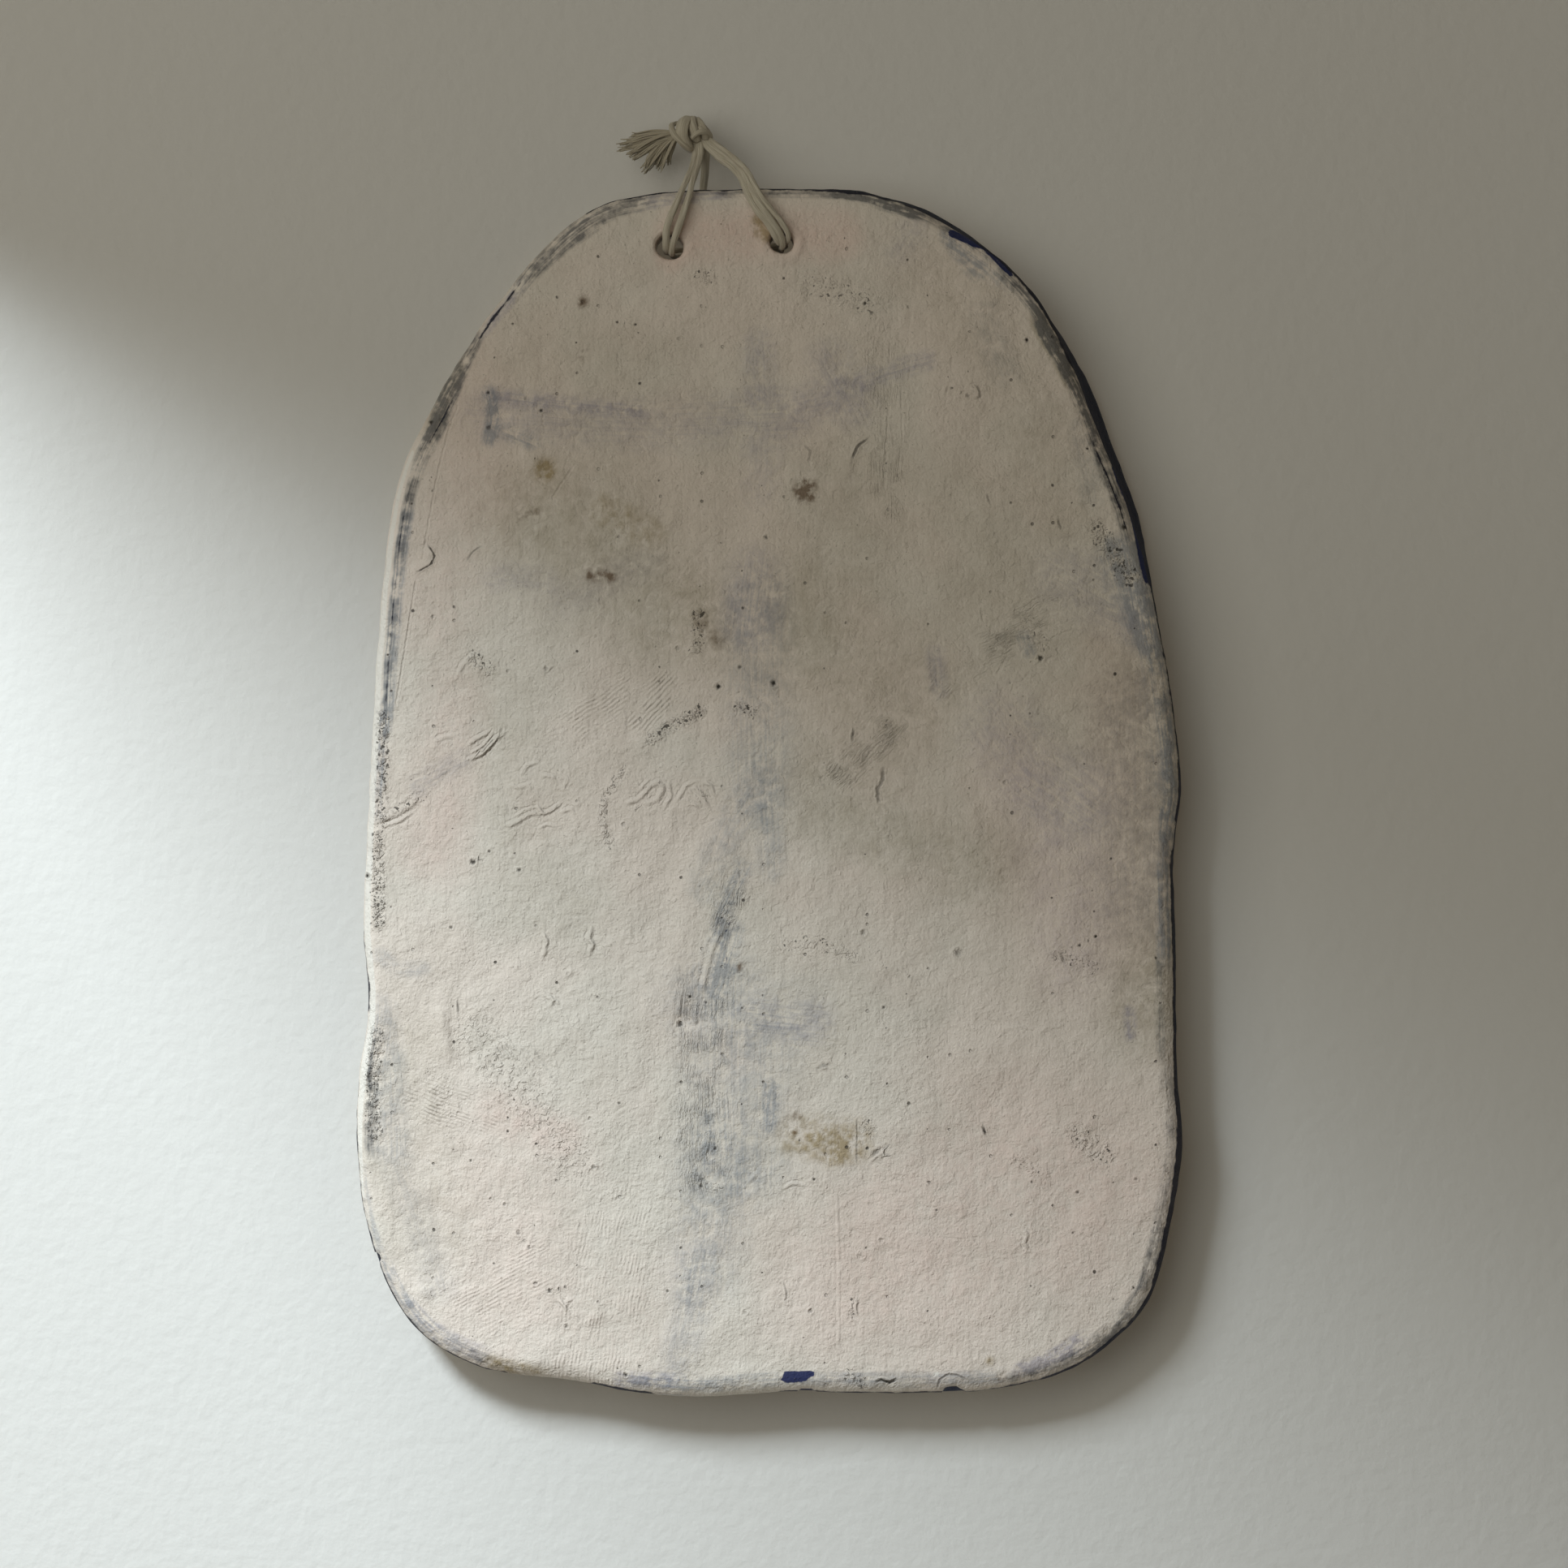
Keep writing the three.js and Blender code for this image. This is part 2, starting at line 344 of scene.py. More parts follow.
def make_object(
    name: str, points: Array, faces: list[Array], smooth: bool = True
) -> bpy.types.Object:
    """Makes a mesh object at the origin from points in millimetres.

    Args:
        name: the piece's name.
        points: vertex places in millimetres.
        faces: blocks of faces, each with one number of corners.
        smooth: whether the faces are shaded smooth.

    Returns:
        The linked object.
    """
    mesh = bpy.data.meshes.new(name)
    loops = np.concatenate([block.ravel() for block in faces]).astype(np.int32)
    sizes = np.concatenate([np.full(len(block), block.shape[1]) for block in faces])
    starts = np.concatenate([[0], np.cumsum(sizes)[:-1]]).astype(np.int32)
    mesh.vertices.add(len(points))
    mesh.vertices.foreach_set("co", (points * MM).astype(np.float32).ravel())
    mesh.loops.add(len(loops))
    mesh.loops.foreach_set("vertex_index", loops)
    mesh.polygons.add(len(sizes))
    mesh.polygons.foreach_set("loop_start", starts)
    mesh.polygons.foreach_set("use_smooth", np.full(len(sizes), smooth))
    mesh.update(calc_edges=True)
    mesh.validate()
    thing = bpy.data.objects.new(name, mesh)
    bpy.context.scene.collection.objects.link(thing)
    return thing


def add_mask(thing: bpy.types.Object, name: str, values: Array) -> None:
    """Stores a number or a place for each vertex under a name that a material can read.

    Args:
        thing: the mesh object.
        name: the name.
        values: one number or one row of three for each vertex.
    """
    kind, slot = ("FLOAT", "value") if values.ndim == 1 else ("FLOAT_VECTOR", "vector")
    attribute = thing.data.attributes.new(name, kind, "POINT")
    attribute.data.foreach_set(slot, values.astype(np.float32).ravel())


def to_broken_line(
    x: Array, z: Array, path: Array, open_ended: bool = False
) -> tuple[Array, Array, Array]:
    """Measures points of the plane against a broken line.

    Args:
        x: first coordinate of the points.
        z: second coordinate of the points.
        path: the line's corners, one row each.
        open_ended: measures the side and the length beyond an end along the line's
            own heading there.

    Returns:
        The distance to the line, which side of it the point is on as a signed distance
        that is positive to the left of its direction, and the length along the line of
        the nearest place.
    """
    if len(path) == 1:
        gap = np.hypot(x - path[0, 0], z - path[0, 1])
        return gap, x - path[0, 0], np.zeros_like(x)
    nearest = np.full(x.shape, np.inf)
    side, along, walked = np.zeros_like(x), np.zeros_like(x), 0.0
    spans = len(path) - 1
    for number, (start, end) in enumerate(zip(path[:-1], path[1:])):
        run = end - start
        length = math.hypot(*run) or 1e-9
        ux, uz = run / length
        dx, dz = x - start[0], z - start[1]
        reach = dx * ux + dz * uz
        cross = ux * dz - uz * dx
        t = np.clip(reach, 0, length)
        gap = np.hypot(dx - t * ux, dz - t * uz)
        closer = gap < nearest
        beyond = ((reach < 0) & (number == 0)) | ((reach > length) & (number == spans - 1))
        straight = beyond & open_ended
        nearest = np.where(closer, gap, nearest)
        side = np.where(closer, np.where(straight, cross, np.sign(cross) * gap), side)
        along = np.where(closer, walked + np.where(straight, reach, t), along)
        walked += length
    return nearest, side, along


@dataclass(frozen=True)
class PhotoView:
    """The square view that the plaque is seen in, and where its pixels fall.

    The camera looks straight along +Y with a long lens, so the plaque's edges are seen
    almost square on. Places on the plaque are read as columns and rows of this view.
    """

    side: int = 1932
    pixels_per_mm: float = 11.0
    middle_x: float = 9.09
    middle_z: float = -72.0
    sharp_depth: float = -5.0
    lens: float = 120.0
    sensor: float = 36.0

    @property
    def distance(self) -> float:
        """How far the camera stands from the sharp depth, in millimetres."""
        return self.side / self.pixels_per_mm * self.lens / self.sensor

    def place(self, pixels: Sequence[Pixel], depth: float) -> Array:
        """Turns columns and rows of the view to x and z at a depth.

        Args:
            pixels: columns and rows.
            depth: the y of the plane that they fall on.

        Returns:
            One row of x and z for each.
        """
        seen = np.asarray(pixels, float).reshape(-1, 2) - self.side / 2
        spread = (1 + (depth - self.sharp_depth) / self.distance) / self.pixels_per_mm
        return np.stack(
            [self.middle_x + seen[:, 0] * spread, self.middle_z - seen[:, 1] * spread], axis=1
        )

    def as_seen(self, points: Array, depth: float) -> Array:
        """Where points seem to lie on the plane at a depth.

        A point's way from the view's middle line is scaled by the plane's distance from
        the camera over its own.

        Args:
            points: the points.
            depth: the y of the plane.

        Returns:
            One row of x and z for each.
        """
        own = self.distance + points[:, 1] - self.sharp_depth
        scale = (self.distance + depth - self.sharp_depth) / own
        middle = np.array([self.middle_x, self.middle_z])
        return middle + (points[:, [0, 2]] - middle) * scale[:, None]


VIEW = PhotoView()


@dataclass(frozen=True)
class Stroke:
    """One pass of a loaded brush or a stain, or a stroke of painted shade, read from the view.

    A stroke of one place is a round blot. Its cover falls along a bell from its middle
    line to half its width. An opaque paint's width is that of its hard edges.
    """

    paint: Paint
    path: tuple[Pixel, ...]
    width: float
    strength: float = 1.0


@dataclass(frozen=True)
class Mark:
    """One mark in the slip, read from the view. Depth and width are in millimetres."""

    relief: Relief
    path: tuple[Pixel, ...]
    width: float
    depth: float
    grit: float = 0.0


@dataclass(frozen=True)
class Pit:
    """A popped bubble in the slip: where, how wide and how dark its bottom is."""

    column: float
    row: float
    width: float = 0.4
    dark: float = 0.7


@dataclass(frozen=True)
class Combing:
    """A patch of fine parallel ridges along a line, left by a finger or by bristles.

    Ridge is the spacing of a finger's ridges; bristles leave uneven ones.
    """

    path: tuple[Pixel, ...]
    width: float
    depth: float
    ridge: float = 0.0


@dataclass(frozen=True)
class RimBand:
    """A band of paint, or of painted shade or highlight, along the edge, clockwise from one place
    of the view to another.

    Outer and inner say how far in from the cut edge it lies, in millimetres, at its
    start and at its end.
    """

    paint: Paint
    start: Pixel
    end: Pixel
    outer: Pair
    inner: Pair
    strength: float = 1.0


STROKES: tuple[Stroke, ...] = tuple(
    Stroke(paint, *row)
    for paint, rows in (
        (BLUSH, (
            (((840, 290), (1030, 290)), 8, 0.8), (((825, 318),), 4.5, 0.9),
            (((560, 860), (540, 1050)), 11, 0.5),
            (((620, 1480), (620, 1580), (760, 1640)), 30, 0.35),
            (((610, 1370), (690, 1400)), 6, 0.5),
            (((1100, 1560), (1250, 1450), (1330, 1480)), 34, 0.6),
            (((1380, 800), (1390, 1150)), 12, 0.35), (((1250, 960), (1330, 1180)), 16, 0.35),
            (((560, 420), (590, 600), (540, 760)), 14, 0.35),
        )),
        (SMOKE, (
            (((660, 640), (740, 690), (810, 760)), 18, 0.55), (((700, 590), (830, 690)), 18, 0.3),
            (((1000, 790), (1110, 860)), 22, 0.5),
            (((1010, 970), (1110, 1030), (1210, 1060)), 16, 0.5),
            (((1050, 600), (1000, 720)), 18, 0.35), (((865, 740), (885, 800)), 7, 0.5),
            (((1190, 640), (1340, 860)), 22, 0.3),
            (((620, 860), (640, 1060), (700, 1120)), 14, 0.25),
            (((790, 470), (690, 440)), 20, 0.25),
            # Painted shade: darkens the face along the right edge at mid height
            (((1420, 860), (1425, 1000), (1420, 1230)), 17, 0.75),
            (((490, 1300), (500, 1400), (530, 1500)), 16, 0.35),
            (((1150, 330), (1260, 480), (1320, 620)), 14, 0.35),
        )),
        (LILAC, (
            # Painted shade: a lilac darkening along the right edge at mid height
            (((1400, 880), (1405, 1100)), 16.2, 0.25),
            (((600, 512), (700, 520), (830, 522), (975, 514)), 8.6, 0.31),
            (((602, 487), (680, 497), (790, 507)), 2.2, 0.61),
            (((935, 428), (938, 482)), 5.7, 0.37), (((975, 505), (1040, 488)), 5.9, 0.31),
            (((1022, 448), (1052, 502)), 7.4, 0.37), (((1060, 470), (1140, 444)), 3.4, 0.51),
            (((941, 540), (938, 605)), 6.2, 0.25), (((932, 712), (925, 765)), 9.5, 0.4),
            (((935, 1255), (1000, 1262)), 7.3, 0.37),
            (((1315, 712), (1370, 742), (1415, 760)), 10.8, 0.34),
            (((1235, 900), (1270, 950), (1320, 985)), 13.5, 0.31),
            (((1290, 1000), (1330, 1190)), 13.5, 0.19), (((1152, 803), (1157, 852)), 3, 0.4),
            (((1391, 1246), (1394, 1276)), 1.8, 0.9), (((1125, 285), (1110, 310)), 5.4, 0.25),
            (((612, 712), (668, 716)), 5.4, 0.25), (((690, 745), (800, 690)), 6.1, 0.19),
            (((765, 1700), (825, 1702)), 2.5, 0.84),
        )),
        (WASH, (
            (((603, 484), (609, 512), (603, 542)), 2.3, 0.84),
            (((612, 528), (655, 546)), 2.5, 0.51),
            (((935, 750), (935, 860), (938, 975)), 10.8, 0.31),
            (((938, 962), (900, 1020), (872, 1090)), 6.2, 0.31),
            (((945, 980), (951, 1070)), 4.6, 0.38),
            (((917, 1070), (893, 1120), (884, 1152)), 3, 0.6),
            (((903, 1148), (894, 1180), (884, 1218)), 3.4, 0.7),
            (((850, 1235), (985, 1245)), 12.2, 0.19), (((893, 1192),), 3.6, 1.0),
            (((890, 1196), (884, 1215)), 2.2, 0.8),
            (((885, 1215), (884, 1330), (890, 1460)), 13, 0.32),
            (((873, 1380), (870, 1440)), 2.3, 0.4), (((945, 1280), (943, 1440)), 11, 0.24),
            (((951, 1340), (947, 1386)), 2.3, 0.9), (((878, 1435), (868, 1565)), 12.5, 0.28),
            (((862, 1550), (850, 1620), (830, 1705)), 6.2, 0.37),
            (((1382, 690), (1410, 772)), 7.8, 0.53), (((1262, 786), (1267, 802)), 2.3, 0.68),
            (((1424, 800), (1436, 960)), 5.4, 0.31), (((1213, 385), (1238, 460)), 5.4, 0.19),
            (((1332, 530), (1346, 610)), 4.3, 0.25), (((1172, 290), (1203, 332)), 3.4, 0.73),
            (((1192, 300), (1242, 334)), 5.4, 0.46), (((515, 968), (568, 938)), 3.8, 0.3),
            (((468, 1178), (492, 1196), (520, 1194)), 2.8, 0.3),
            (((466, 1250), (478, 1330), (482, 1410)), 5.9, 0.4),
            (((494, 1435), (515, 1500), (540, 1585)), 6.2, 0.22),
        )),
        (COBALT, (
            (((1174, 287), (1190, 294), (1214, 303)), 1.0), (((1214, 305), (1246, 338)), 0.6),
            (((968, 1694), (999, 1693)), 0.85), (((966, 1700), (990, 1699)), 0.7),
            (((902, 1131), (895, 1147)), 0.16), (((898, 1173), (892, 1196)), 0.3),
        )),
        (OCHRE, (
            (((985, 1400), (1050, 1405)), 6.5, 0.7), (((1028, 1424),), 3.6, 0.8),
            (((670, 579),), 3.6, 0.9), (((744, 628), (800, 660)), 5, 0.35),
            (((937, 272), (941, 290)), 2.4, 1.0), (((605, 1680), (665, 1693)), 2.4, 0.6),
            (((1220, 1677),), 1.6, 0.5),
        )),
        (RUST, (
            (((981, 1374), (979, 1396)), 1.2, 0.8), (((992, 603),), 3.8, 1.0),
            (((990, 590), (1000, 615)), 1.2, 0.7), (((727, 708), (752, 711)), 1.9, 0.75),
            (((718, 372),), 1.8, 0.8), (((719, 437),), 1.5, 0.75),
            (((640, 636), (664, 632)), 1.2, 0.45), (((862, 762), (884, 792)), 2.4, 0.3),
            (((912, 1190),), 1.1, 1.0), (((1235, 1697),), 1.1, 1.0),
        )),
        (CHALK_AND_HIGHLIGHT, (
            (((1244, 1695),), 0.5), (((1150, 1694), (1156, 1693)), 0.45),
        )),
    )
    for row in rows
)

MARKS: tuple[Mark, ...] = tuple(
    Mark(relief, *row)
    for relief, rows in (
        (FOLD, (
            (((524, 668), (533, 680), (529, 694), (505, 708)), 0.8, 0.2),
            (((1066, 545), (1052, 560), (1038, 590)), 1.3, 0.18),
            (((945, 345), (957, 358), (970, 373)), 0.8, 0.18),
            (((552, 1228), (547, 1240), (546, 1262), (551, 1287), (562, 1312)), 1.5, 0.3),
            (((738, 1598), (739, 1620), (725, 1634)), 1.0, 0.22),
        )),
        (TORN, (
            (((468, 1010), (516, 982)), 1.6, 0.14, 0.4),
            (((1000, 350), (1070, 372)), 3.6, 0.12, 0.1),
            (((862, 338), (876, 345)), 1.4, 0.2, 0.4),
            (((1350, 650), (1375, 690), (1392, 712)), 2.4, 0.2, 0.5),
            (((1268, 770), (1292, 800)), 2.4, 0.12, 0.1),
            (((860, 755), (858, 800)), 1.6, 0.22, 0.6),
            (((801, 910), (817, 899), (841, 887), (864, 875)), 1.5, 0.3, 0.6),
            (((908, 870), (929, 878)), 1.2, 0.3, 0.7), (((584, 810), (600, 822)), 2.0, 0.25, 0.3),
            (((766, 950), (744, 984), (741, 1014), (752, 1042)), 0.9, 0.24, 0.3),
            (((965, 1165), (1010, 1160), (1052, 1180)), 1.6, 0.12, 0.2),
            (((1303, 1175), (1345, 1190)), 2.0, 0.14, 0.3),
            (((585, 1275), (620, 1320), (660, 1370), (705, 1425)), 6.0, 0.13),
            (((535, 1330), (560, 1400)), 3.5, 0.08), (((865, 1455), (885, 1465)), 1.3, 0.2, 0.25),
            (((1066, 1385), (1074, 1398)), 1.3, 0.2, 0.4),
            (((1330, 1398), (1362, 1424)), 3.0, 0.2, 0.15),
            (((1255, 1430), (1275, 1442)), 2.0, 0.12, 0.1),
            (((1052, 1602), (1050, 1624)), 0.9, 0.16, 0.3),
            (((1046, 1694), (1062, 1702)), 1.4, 0.2, 0.3),
            (((472, 880), (470, 960), (469, 1012)), 1.5, 0.4, 0.45),
            (((466, 1030), (465, 1075)), 1.4, 0.4, 0.4),
            (((466, 1086), (466, 1140)), 1.6, 0.45, 0.5),
            (((463, 1272), (459, 1320), (461, 1395)), 2.0, 0.35, 0.35),
        )),
        (DENT, (
            (((1098, 565),), 1.5, -0.12), (((864, 469),), 0.9, -0.14), (((672, 578),), 3.0, 0.2),
            (((656, 566),), 2.4, -0.2), (((834, 628), (830, 641)), 1.2, -0.16),
            (((1201, 998), (1203, 1028)), 0.9, -0.2), (((521, 1591),), 1.5, -0.3),
            (((843, 1258),), 2.0, 0.55),
        )),
        (SCRATCH, (
            (((565, 500), (553, 530), (540, 580), (527, 650), (520, 690)), 0.3, 0.13),
            (((513, 715), (507, 750), (496, 820), (488, 870)), 0.3, 0.2),
            (((527, 671), (536, 684), (532, 695), (514, 705)), 0.24, 0.22, 0.8),
            (((575, 692), (582, 680), (593, 673)), 0.22, 0.16, 0.5),
            (((1096, 482), (1093, 540), (1089, 603)), 0.4, 0.16),
            (((1110, 470), (1112, 540), (1106, 590)), 0.3, 0.1),
            (((1070, 540), (1057, 550), (1050, 566)), 0.35, 0.35, 0.7),
            (((990, 548), (999, 556), (997, 570)), 0.35, 0.16, 0.3),
            (((1216, 608), (1220, 622)), 0.3, 0.2, 0.4),
            (((1303, 638), (1308, 654)), 0.35, 0.2, 0.5), (((1209, 748), (1212, 768)), 0.35, 0.2),
            (((1228, 832), (1236, 818), (1242, 808)), 0.35, 0.2),
        )),
        (CREASE, (
            (((1195, 480), (1202, 479), (1204, 487), (1199, 491)), 0.7, 0.6),
            (((1165, 476), (1163, 484)), 0.5, 0.4),
        )),
        (SCRATCH, (
            (((707, 575), (692, 596), (680, 615)), 0.3, 0.14),
        )),
        (CREASE, (
            (((565, 831), (571, 818), (584, 807), (595, 810)), 0.6, 0.3),
            (((673, 826), (682, 820)), 0.5, 0.3, 0.4),
            (((535, 914), (548, 908), (560, 906)), 0.6, 0.2),
            (((577, 937), (594, 928), (608, 914), (623, 901)), 0.55, 0.4),
            (((576, 919), (587, 910), (605, 901)), 0.5, 0.35),
            (((590, 933), (602, 923), (613, 907), (617, 896)), 0.45, 0.35),
            (((581, 928), (597, 918), (610, 899)), 0.4, 0.3),
            (((624, 1018), (637, 1013), (652, 1002), (667, 1003)), 0.6, 0.35),
            (((635, 1007), (646, 999), (657, 996)), 0.45, 0.3),
            (((661, 992), (668, 1003), (679, 999), (691, 990)), 0.5, 0.4),
            (((664, 1020), (676, 1015), (685, 1019)), 0.4, 0.25),
            (((691, 1001), (704, 996), (708, 1004)), 0.5, 0.3),
            (((643, 955), (649, 943), (661, 940)), 0.5, 0.25),
            (((667, 954), (682, 958), (684, 964)), 0.5, 0.25),
            (((629, 966), (640, 971), (652, 966)), 0.5, 0.22),
            (((700, 958), (694, 972)), 0.5, 0.2),
            (((772, 990), (788, 984), (801, 969), (811, 963), (817, 972), (810, 986),
              (794, 991)), 0.6, 0.35), (((788, 974), (798, 963)), 0.5, 0.3),
            (((824, 963), (827, 981), (818, 995)), 0.5, 0.3),
            (((834, 987), (846, 967), (856, 963)), 0.5, 0.28),
            (((853, 967), (865, 980), (873, 995)), 0.6, 0.3),
            (((866, 962), (876, 968), (880, 981)), 0.5, 0.3),
            (((851, 990), (862, 994)), 0.5, 0.25), (((695, 1203), (708, 1195)), 0.8, 0.3),
            (((466, 1011), (484, 1003), (502, 996), (515, 983)), 0.8, 0.4, 0.3),
            (((470, 1019), (493, 1011), (510, 999)), 0.5, 0.3),
            (((669, 1149), (674, 1160), (671, 1170)), 0.5, 0.35, 0.3),
            (((673, 1168), (668, 1180)), 0.6, 0.35, 0.3),
            (((730, 1143), (725, 1156), (731, 1163), (727, 1174)), 0.6, 0.5, 0.5),
            (((672, 1226), (681, 1232), (678, 1240)), 0.6, 0.4, 0.4),
            (((682, 1230), (690, 1238)), 0.5, 0.35),
            (((897, 1137), (882, 1158), (874, 1180), (865, 1222)), 0.7, 0.3),
            (((852, 1248), (857, 1256), (855, 1264)), 0.6, 0.5),
            (((838, 1225), (836, 1250)), 0.5, 0.25),
        )),
        (SCRATCH, (
            (((1052, 898), (1050, 912)), 0.35, 0.25, 0.8),
            (((1088, 945), (1088, 962), (1081, 972), (1083, 990)), 0.45, 0.3, 0.5),
            (((1150, 872), (1158, 880)), 0.4, 0.2),
            (((1306, 1172), (1312, 1188)), 0.35, 0.2, 0.4),
        )),
        (CREASE, (
            (((697, 1607), (703, 1598)), 0.6, 0.4),
            (((688, 1600), (694, 1607), (700, 1617)), 0.5, 0.4, 0.4),
            (((760, 1372), (772, 1366)), 0.5, 0.2), (((733, 1432), (736, 1440)), 0.6, 0.3),
            (((924, 1454), (932, 1447), (940, 1452)), 0.6, 0.25),
            (((917, 1617), (925, 1618)), 0.5, 0.3),
        )),
        (SCRATCH, (
            (((564, 1232), (565, 1250)), 0.3, 0.2, 0.6),
        )),
        (CREASE, (
            (((1031, 1470), (1034, 1560), (1033, 1664)), 0.4, 0.09),
            (((1010, 1313), (1019, 1317)), 0.6, 0.4),
            (((1074, 1430), (1086, 1420), (1083, 1430)), 0.6, 0.4),
            (((1258, 1515), (1266, 1520), (1262, 1532), (1267, 1540)), 0.5, 0.35),
            (((1330, 1402), (1338, 1406), (1334, 1414)), 0.5, 0.3),
            (((1346, 1398), (1352, 1408)), 0.5, 0.3), (((1356, 1412), (1350, 1420)), 0.5, 0.3),
            (((1266, 1432), (1272, 1440)), 0.5, 0.25),
            (((967, 1464), (975, 1458), (990, 1460)), 0.5, 0.3),
            (((1056, 1600), (1054, 1612), (1056, 1622)), 0.4, 0.3),
            (((1046, 1690), (1052, 1695), (1050, 1702)), 0.5, 0.35),
            (((1058, 1542), (1064, 1550)), 0.6, 0.4),
        )),
        (SCRATCH, (
            (((1005, 1318), (1014, 1312), (1023, 1311)), 0.5, 0.2, 0.4),
            (((1211, 1387), (1215, 1400)), 0.4, 0.35, 1.0),
            (((1056, 1378), (1056, 1434)), 0.25, 0.14, 0.3),
            (((1072, 1426), (1086, 1414)), 0.6, 0.35, 0.5),
            (((966, 1580), (970, 1594), (968, 1606)), 0.3, 0.2, 0.3),
            (((1158, 1525), (1184, 1527), (1210, 1524)), 0.3, 0.07),
            (((1079, 1703), (1086, 1700), (1096, 1704), (1105, 1699)), 0.4, 0.35, 1.0),
            (((1155, 1712), (1158, 1700), (1168, 1693), (1180, 1694),
              (1190, 1700)), 0.3, 0.22, 0.5),
        )),
    )
    for row in rows
)

PITS: tuple[Pit, ...] = tuple(
    Pit(*row)
    for row in (
        (838, 1262, 0.7, 0.8), (1265, 419, 0.5, 1), (1193, 488, 0.5, 0.4), (885, 846, 0.7, 1),
        (912, 822, 0.5), (953, 842, 0.7, 1), (583, 1062, 0.7, 0.9), (603, 1049, 0.35),
        (640, 1072, 0.5, 0.9), (556, 1143, 0.4), (763, 1359, 0.35), (727, 1378, 0.4, 0.2),
        (732, 1438, 0.5, 0.4), (580, 1430, 0.35), (639, 1519, 0.5, 0.5), (652, 1537, 0.45, 0.5),
        (605, 1477, 0.35, 0.3), (622, 1484, 0.4, 0.4), (660, 1581, 0.5, 0.4),
        (677, 1590, 0.6, 0.8), (697, 1586, 0.4, 0.6), (823, 1591, 0.35), (918, 1617, 0.5, 0.3),
        (881, 1415, 0.45, 0.8), (915, 1242, 0.35, 0.7), (1089, 1241, 0.4, 0.8),
        (1003, 1453, 0.4, 0.9), (1061, 1547, 0.7, 0.1), (1086, 1528, 0.5, 0.2),
        (1328, 1469, 0.4, 0.7), (1400, 1453, 0.4, 0.5), (1154, 1491, 0.3), (1322, 1519, 0.3),
        (1397, 1587, 0.4, 1), (999, 1615, 0.5, 0.4), (533, 760, 0.4, 0.4), (626, 827, 0.4, 0.2),
        (673, 824, 0.5, 0.3), (835, 799, 0.5, 0.3), (769, 1016, 0.5, 0.2), (1282, 811, 0.7, 0.9),
        (1269, 879, 0.35, 0.8), (1095, 1031, 0.45, 0.1), (1336, 941, 0.3, 0.9),
        (1238, 964, 0.4, 0.3), (1369, 1058, 0.3, 0.9), (1064, 1149, 0.6, 0.3),
        (1181, 1174, 0.9, 0.3), (1330, 1165, 0.45, 1), (1350, 1154, 0.4, 1),
        (1348, 1123, 0.3, 0.8), (718, 372, 0.5, 0.4), (761, 397, 0.35, 0.8),
        (783, 400, 0.35, 0.9), (632, 399, 0.35, 0.8), (837, 418, 0.45, 0.2), (648, 491, 0.4, 0.3),
        (667, 506, 0.5, 1), (602, 484, 0.5, 0.9), (603, 527, 0.6, 0.6), (944, 662, 0.5, 0.8),
        (1173, 478, 0.35, 0.8), (1066, 374, 0.5, 0.9), (531, 520, 0.6, 1), (452, 1079, 0.6, 1),
        (626, 1394, 0.35, 0.9), (626, 1377, 0.3, 0.9), (985, 1405, 0.3, 0.8), (478, 807, 0.3, 1),
        (698, 1634, 0.5, 0.4), (1121, 1204, 0.4, 0.2), (864, 1461, 0.5, 0.8),
        (771, 1694, 0.5, 0.9), (870, 1235, 0.4, 0.7), (850, 1228, 0.4, 0.9), (1340, 553, 0.4, 1),
        (1386, 650, 0.6, 1), (1430, 1236, 0.3, 0.7), (700, 1199, 0.4, 0.1),
    )
)

COMBINGS: tuple[Combing, ...] = (
    # Finger ridges
    Combing(((520, 1352), (590, 1378)), 6.5, 0.022, 0.43),
    Combing(((615, 1275), (660, 1345)), 5.5, 0.03, 0.6),
    Combing(((700, 900), (760, 860)), 7, 0.012, 0.43),
    Combing(((790, 880), (820, 850)), 5, 0.03, 0.45),
    Combing(((725, 1705), (740, 1600), (760, 1500)), 15, 0.011, 0.43),
    Combing(((600, 1600), (660, 1570)), 12, 0.01, 0.43),
    # Bristle grooves
    Combing(((1090, 420), (1092, 620)), 7, 0.05),
    Combing(((1036, 952), (1130, 862)), 5.5, 0.11),
    Combing(((1130, 862), (1190, 800)), 6.5, 0.09),
    Combing(((1170, 820), (1290, 762)), 7.5, 0.08),
    Combing(((868, 1215), (866, 1440)), 8.5, 0.09),
    Combing(((905, 1090), (868, 1215)), 6, 0.08),
    Combing(((600, 500), (740, 514)), 5, 0.016),
    Combing(((1222, 380), (1252, 470)), 7, 0.03),
    Combing(((990, 640), (1000, 560)), 5, 0.03),
)

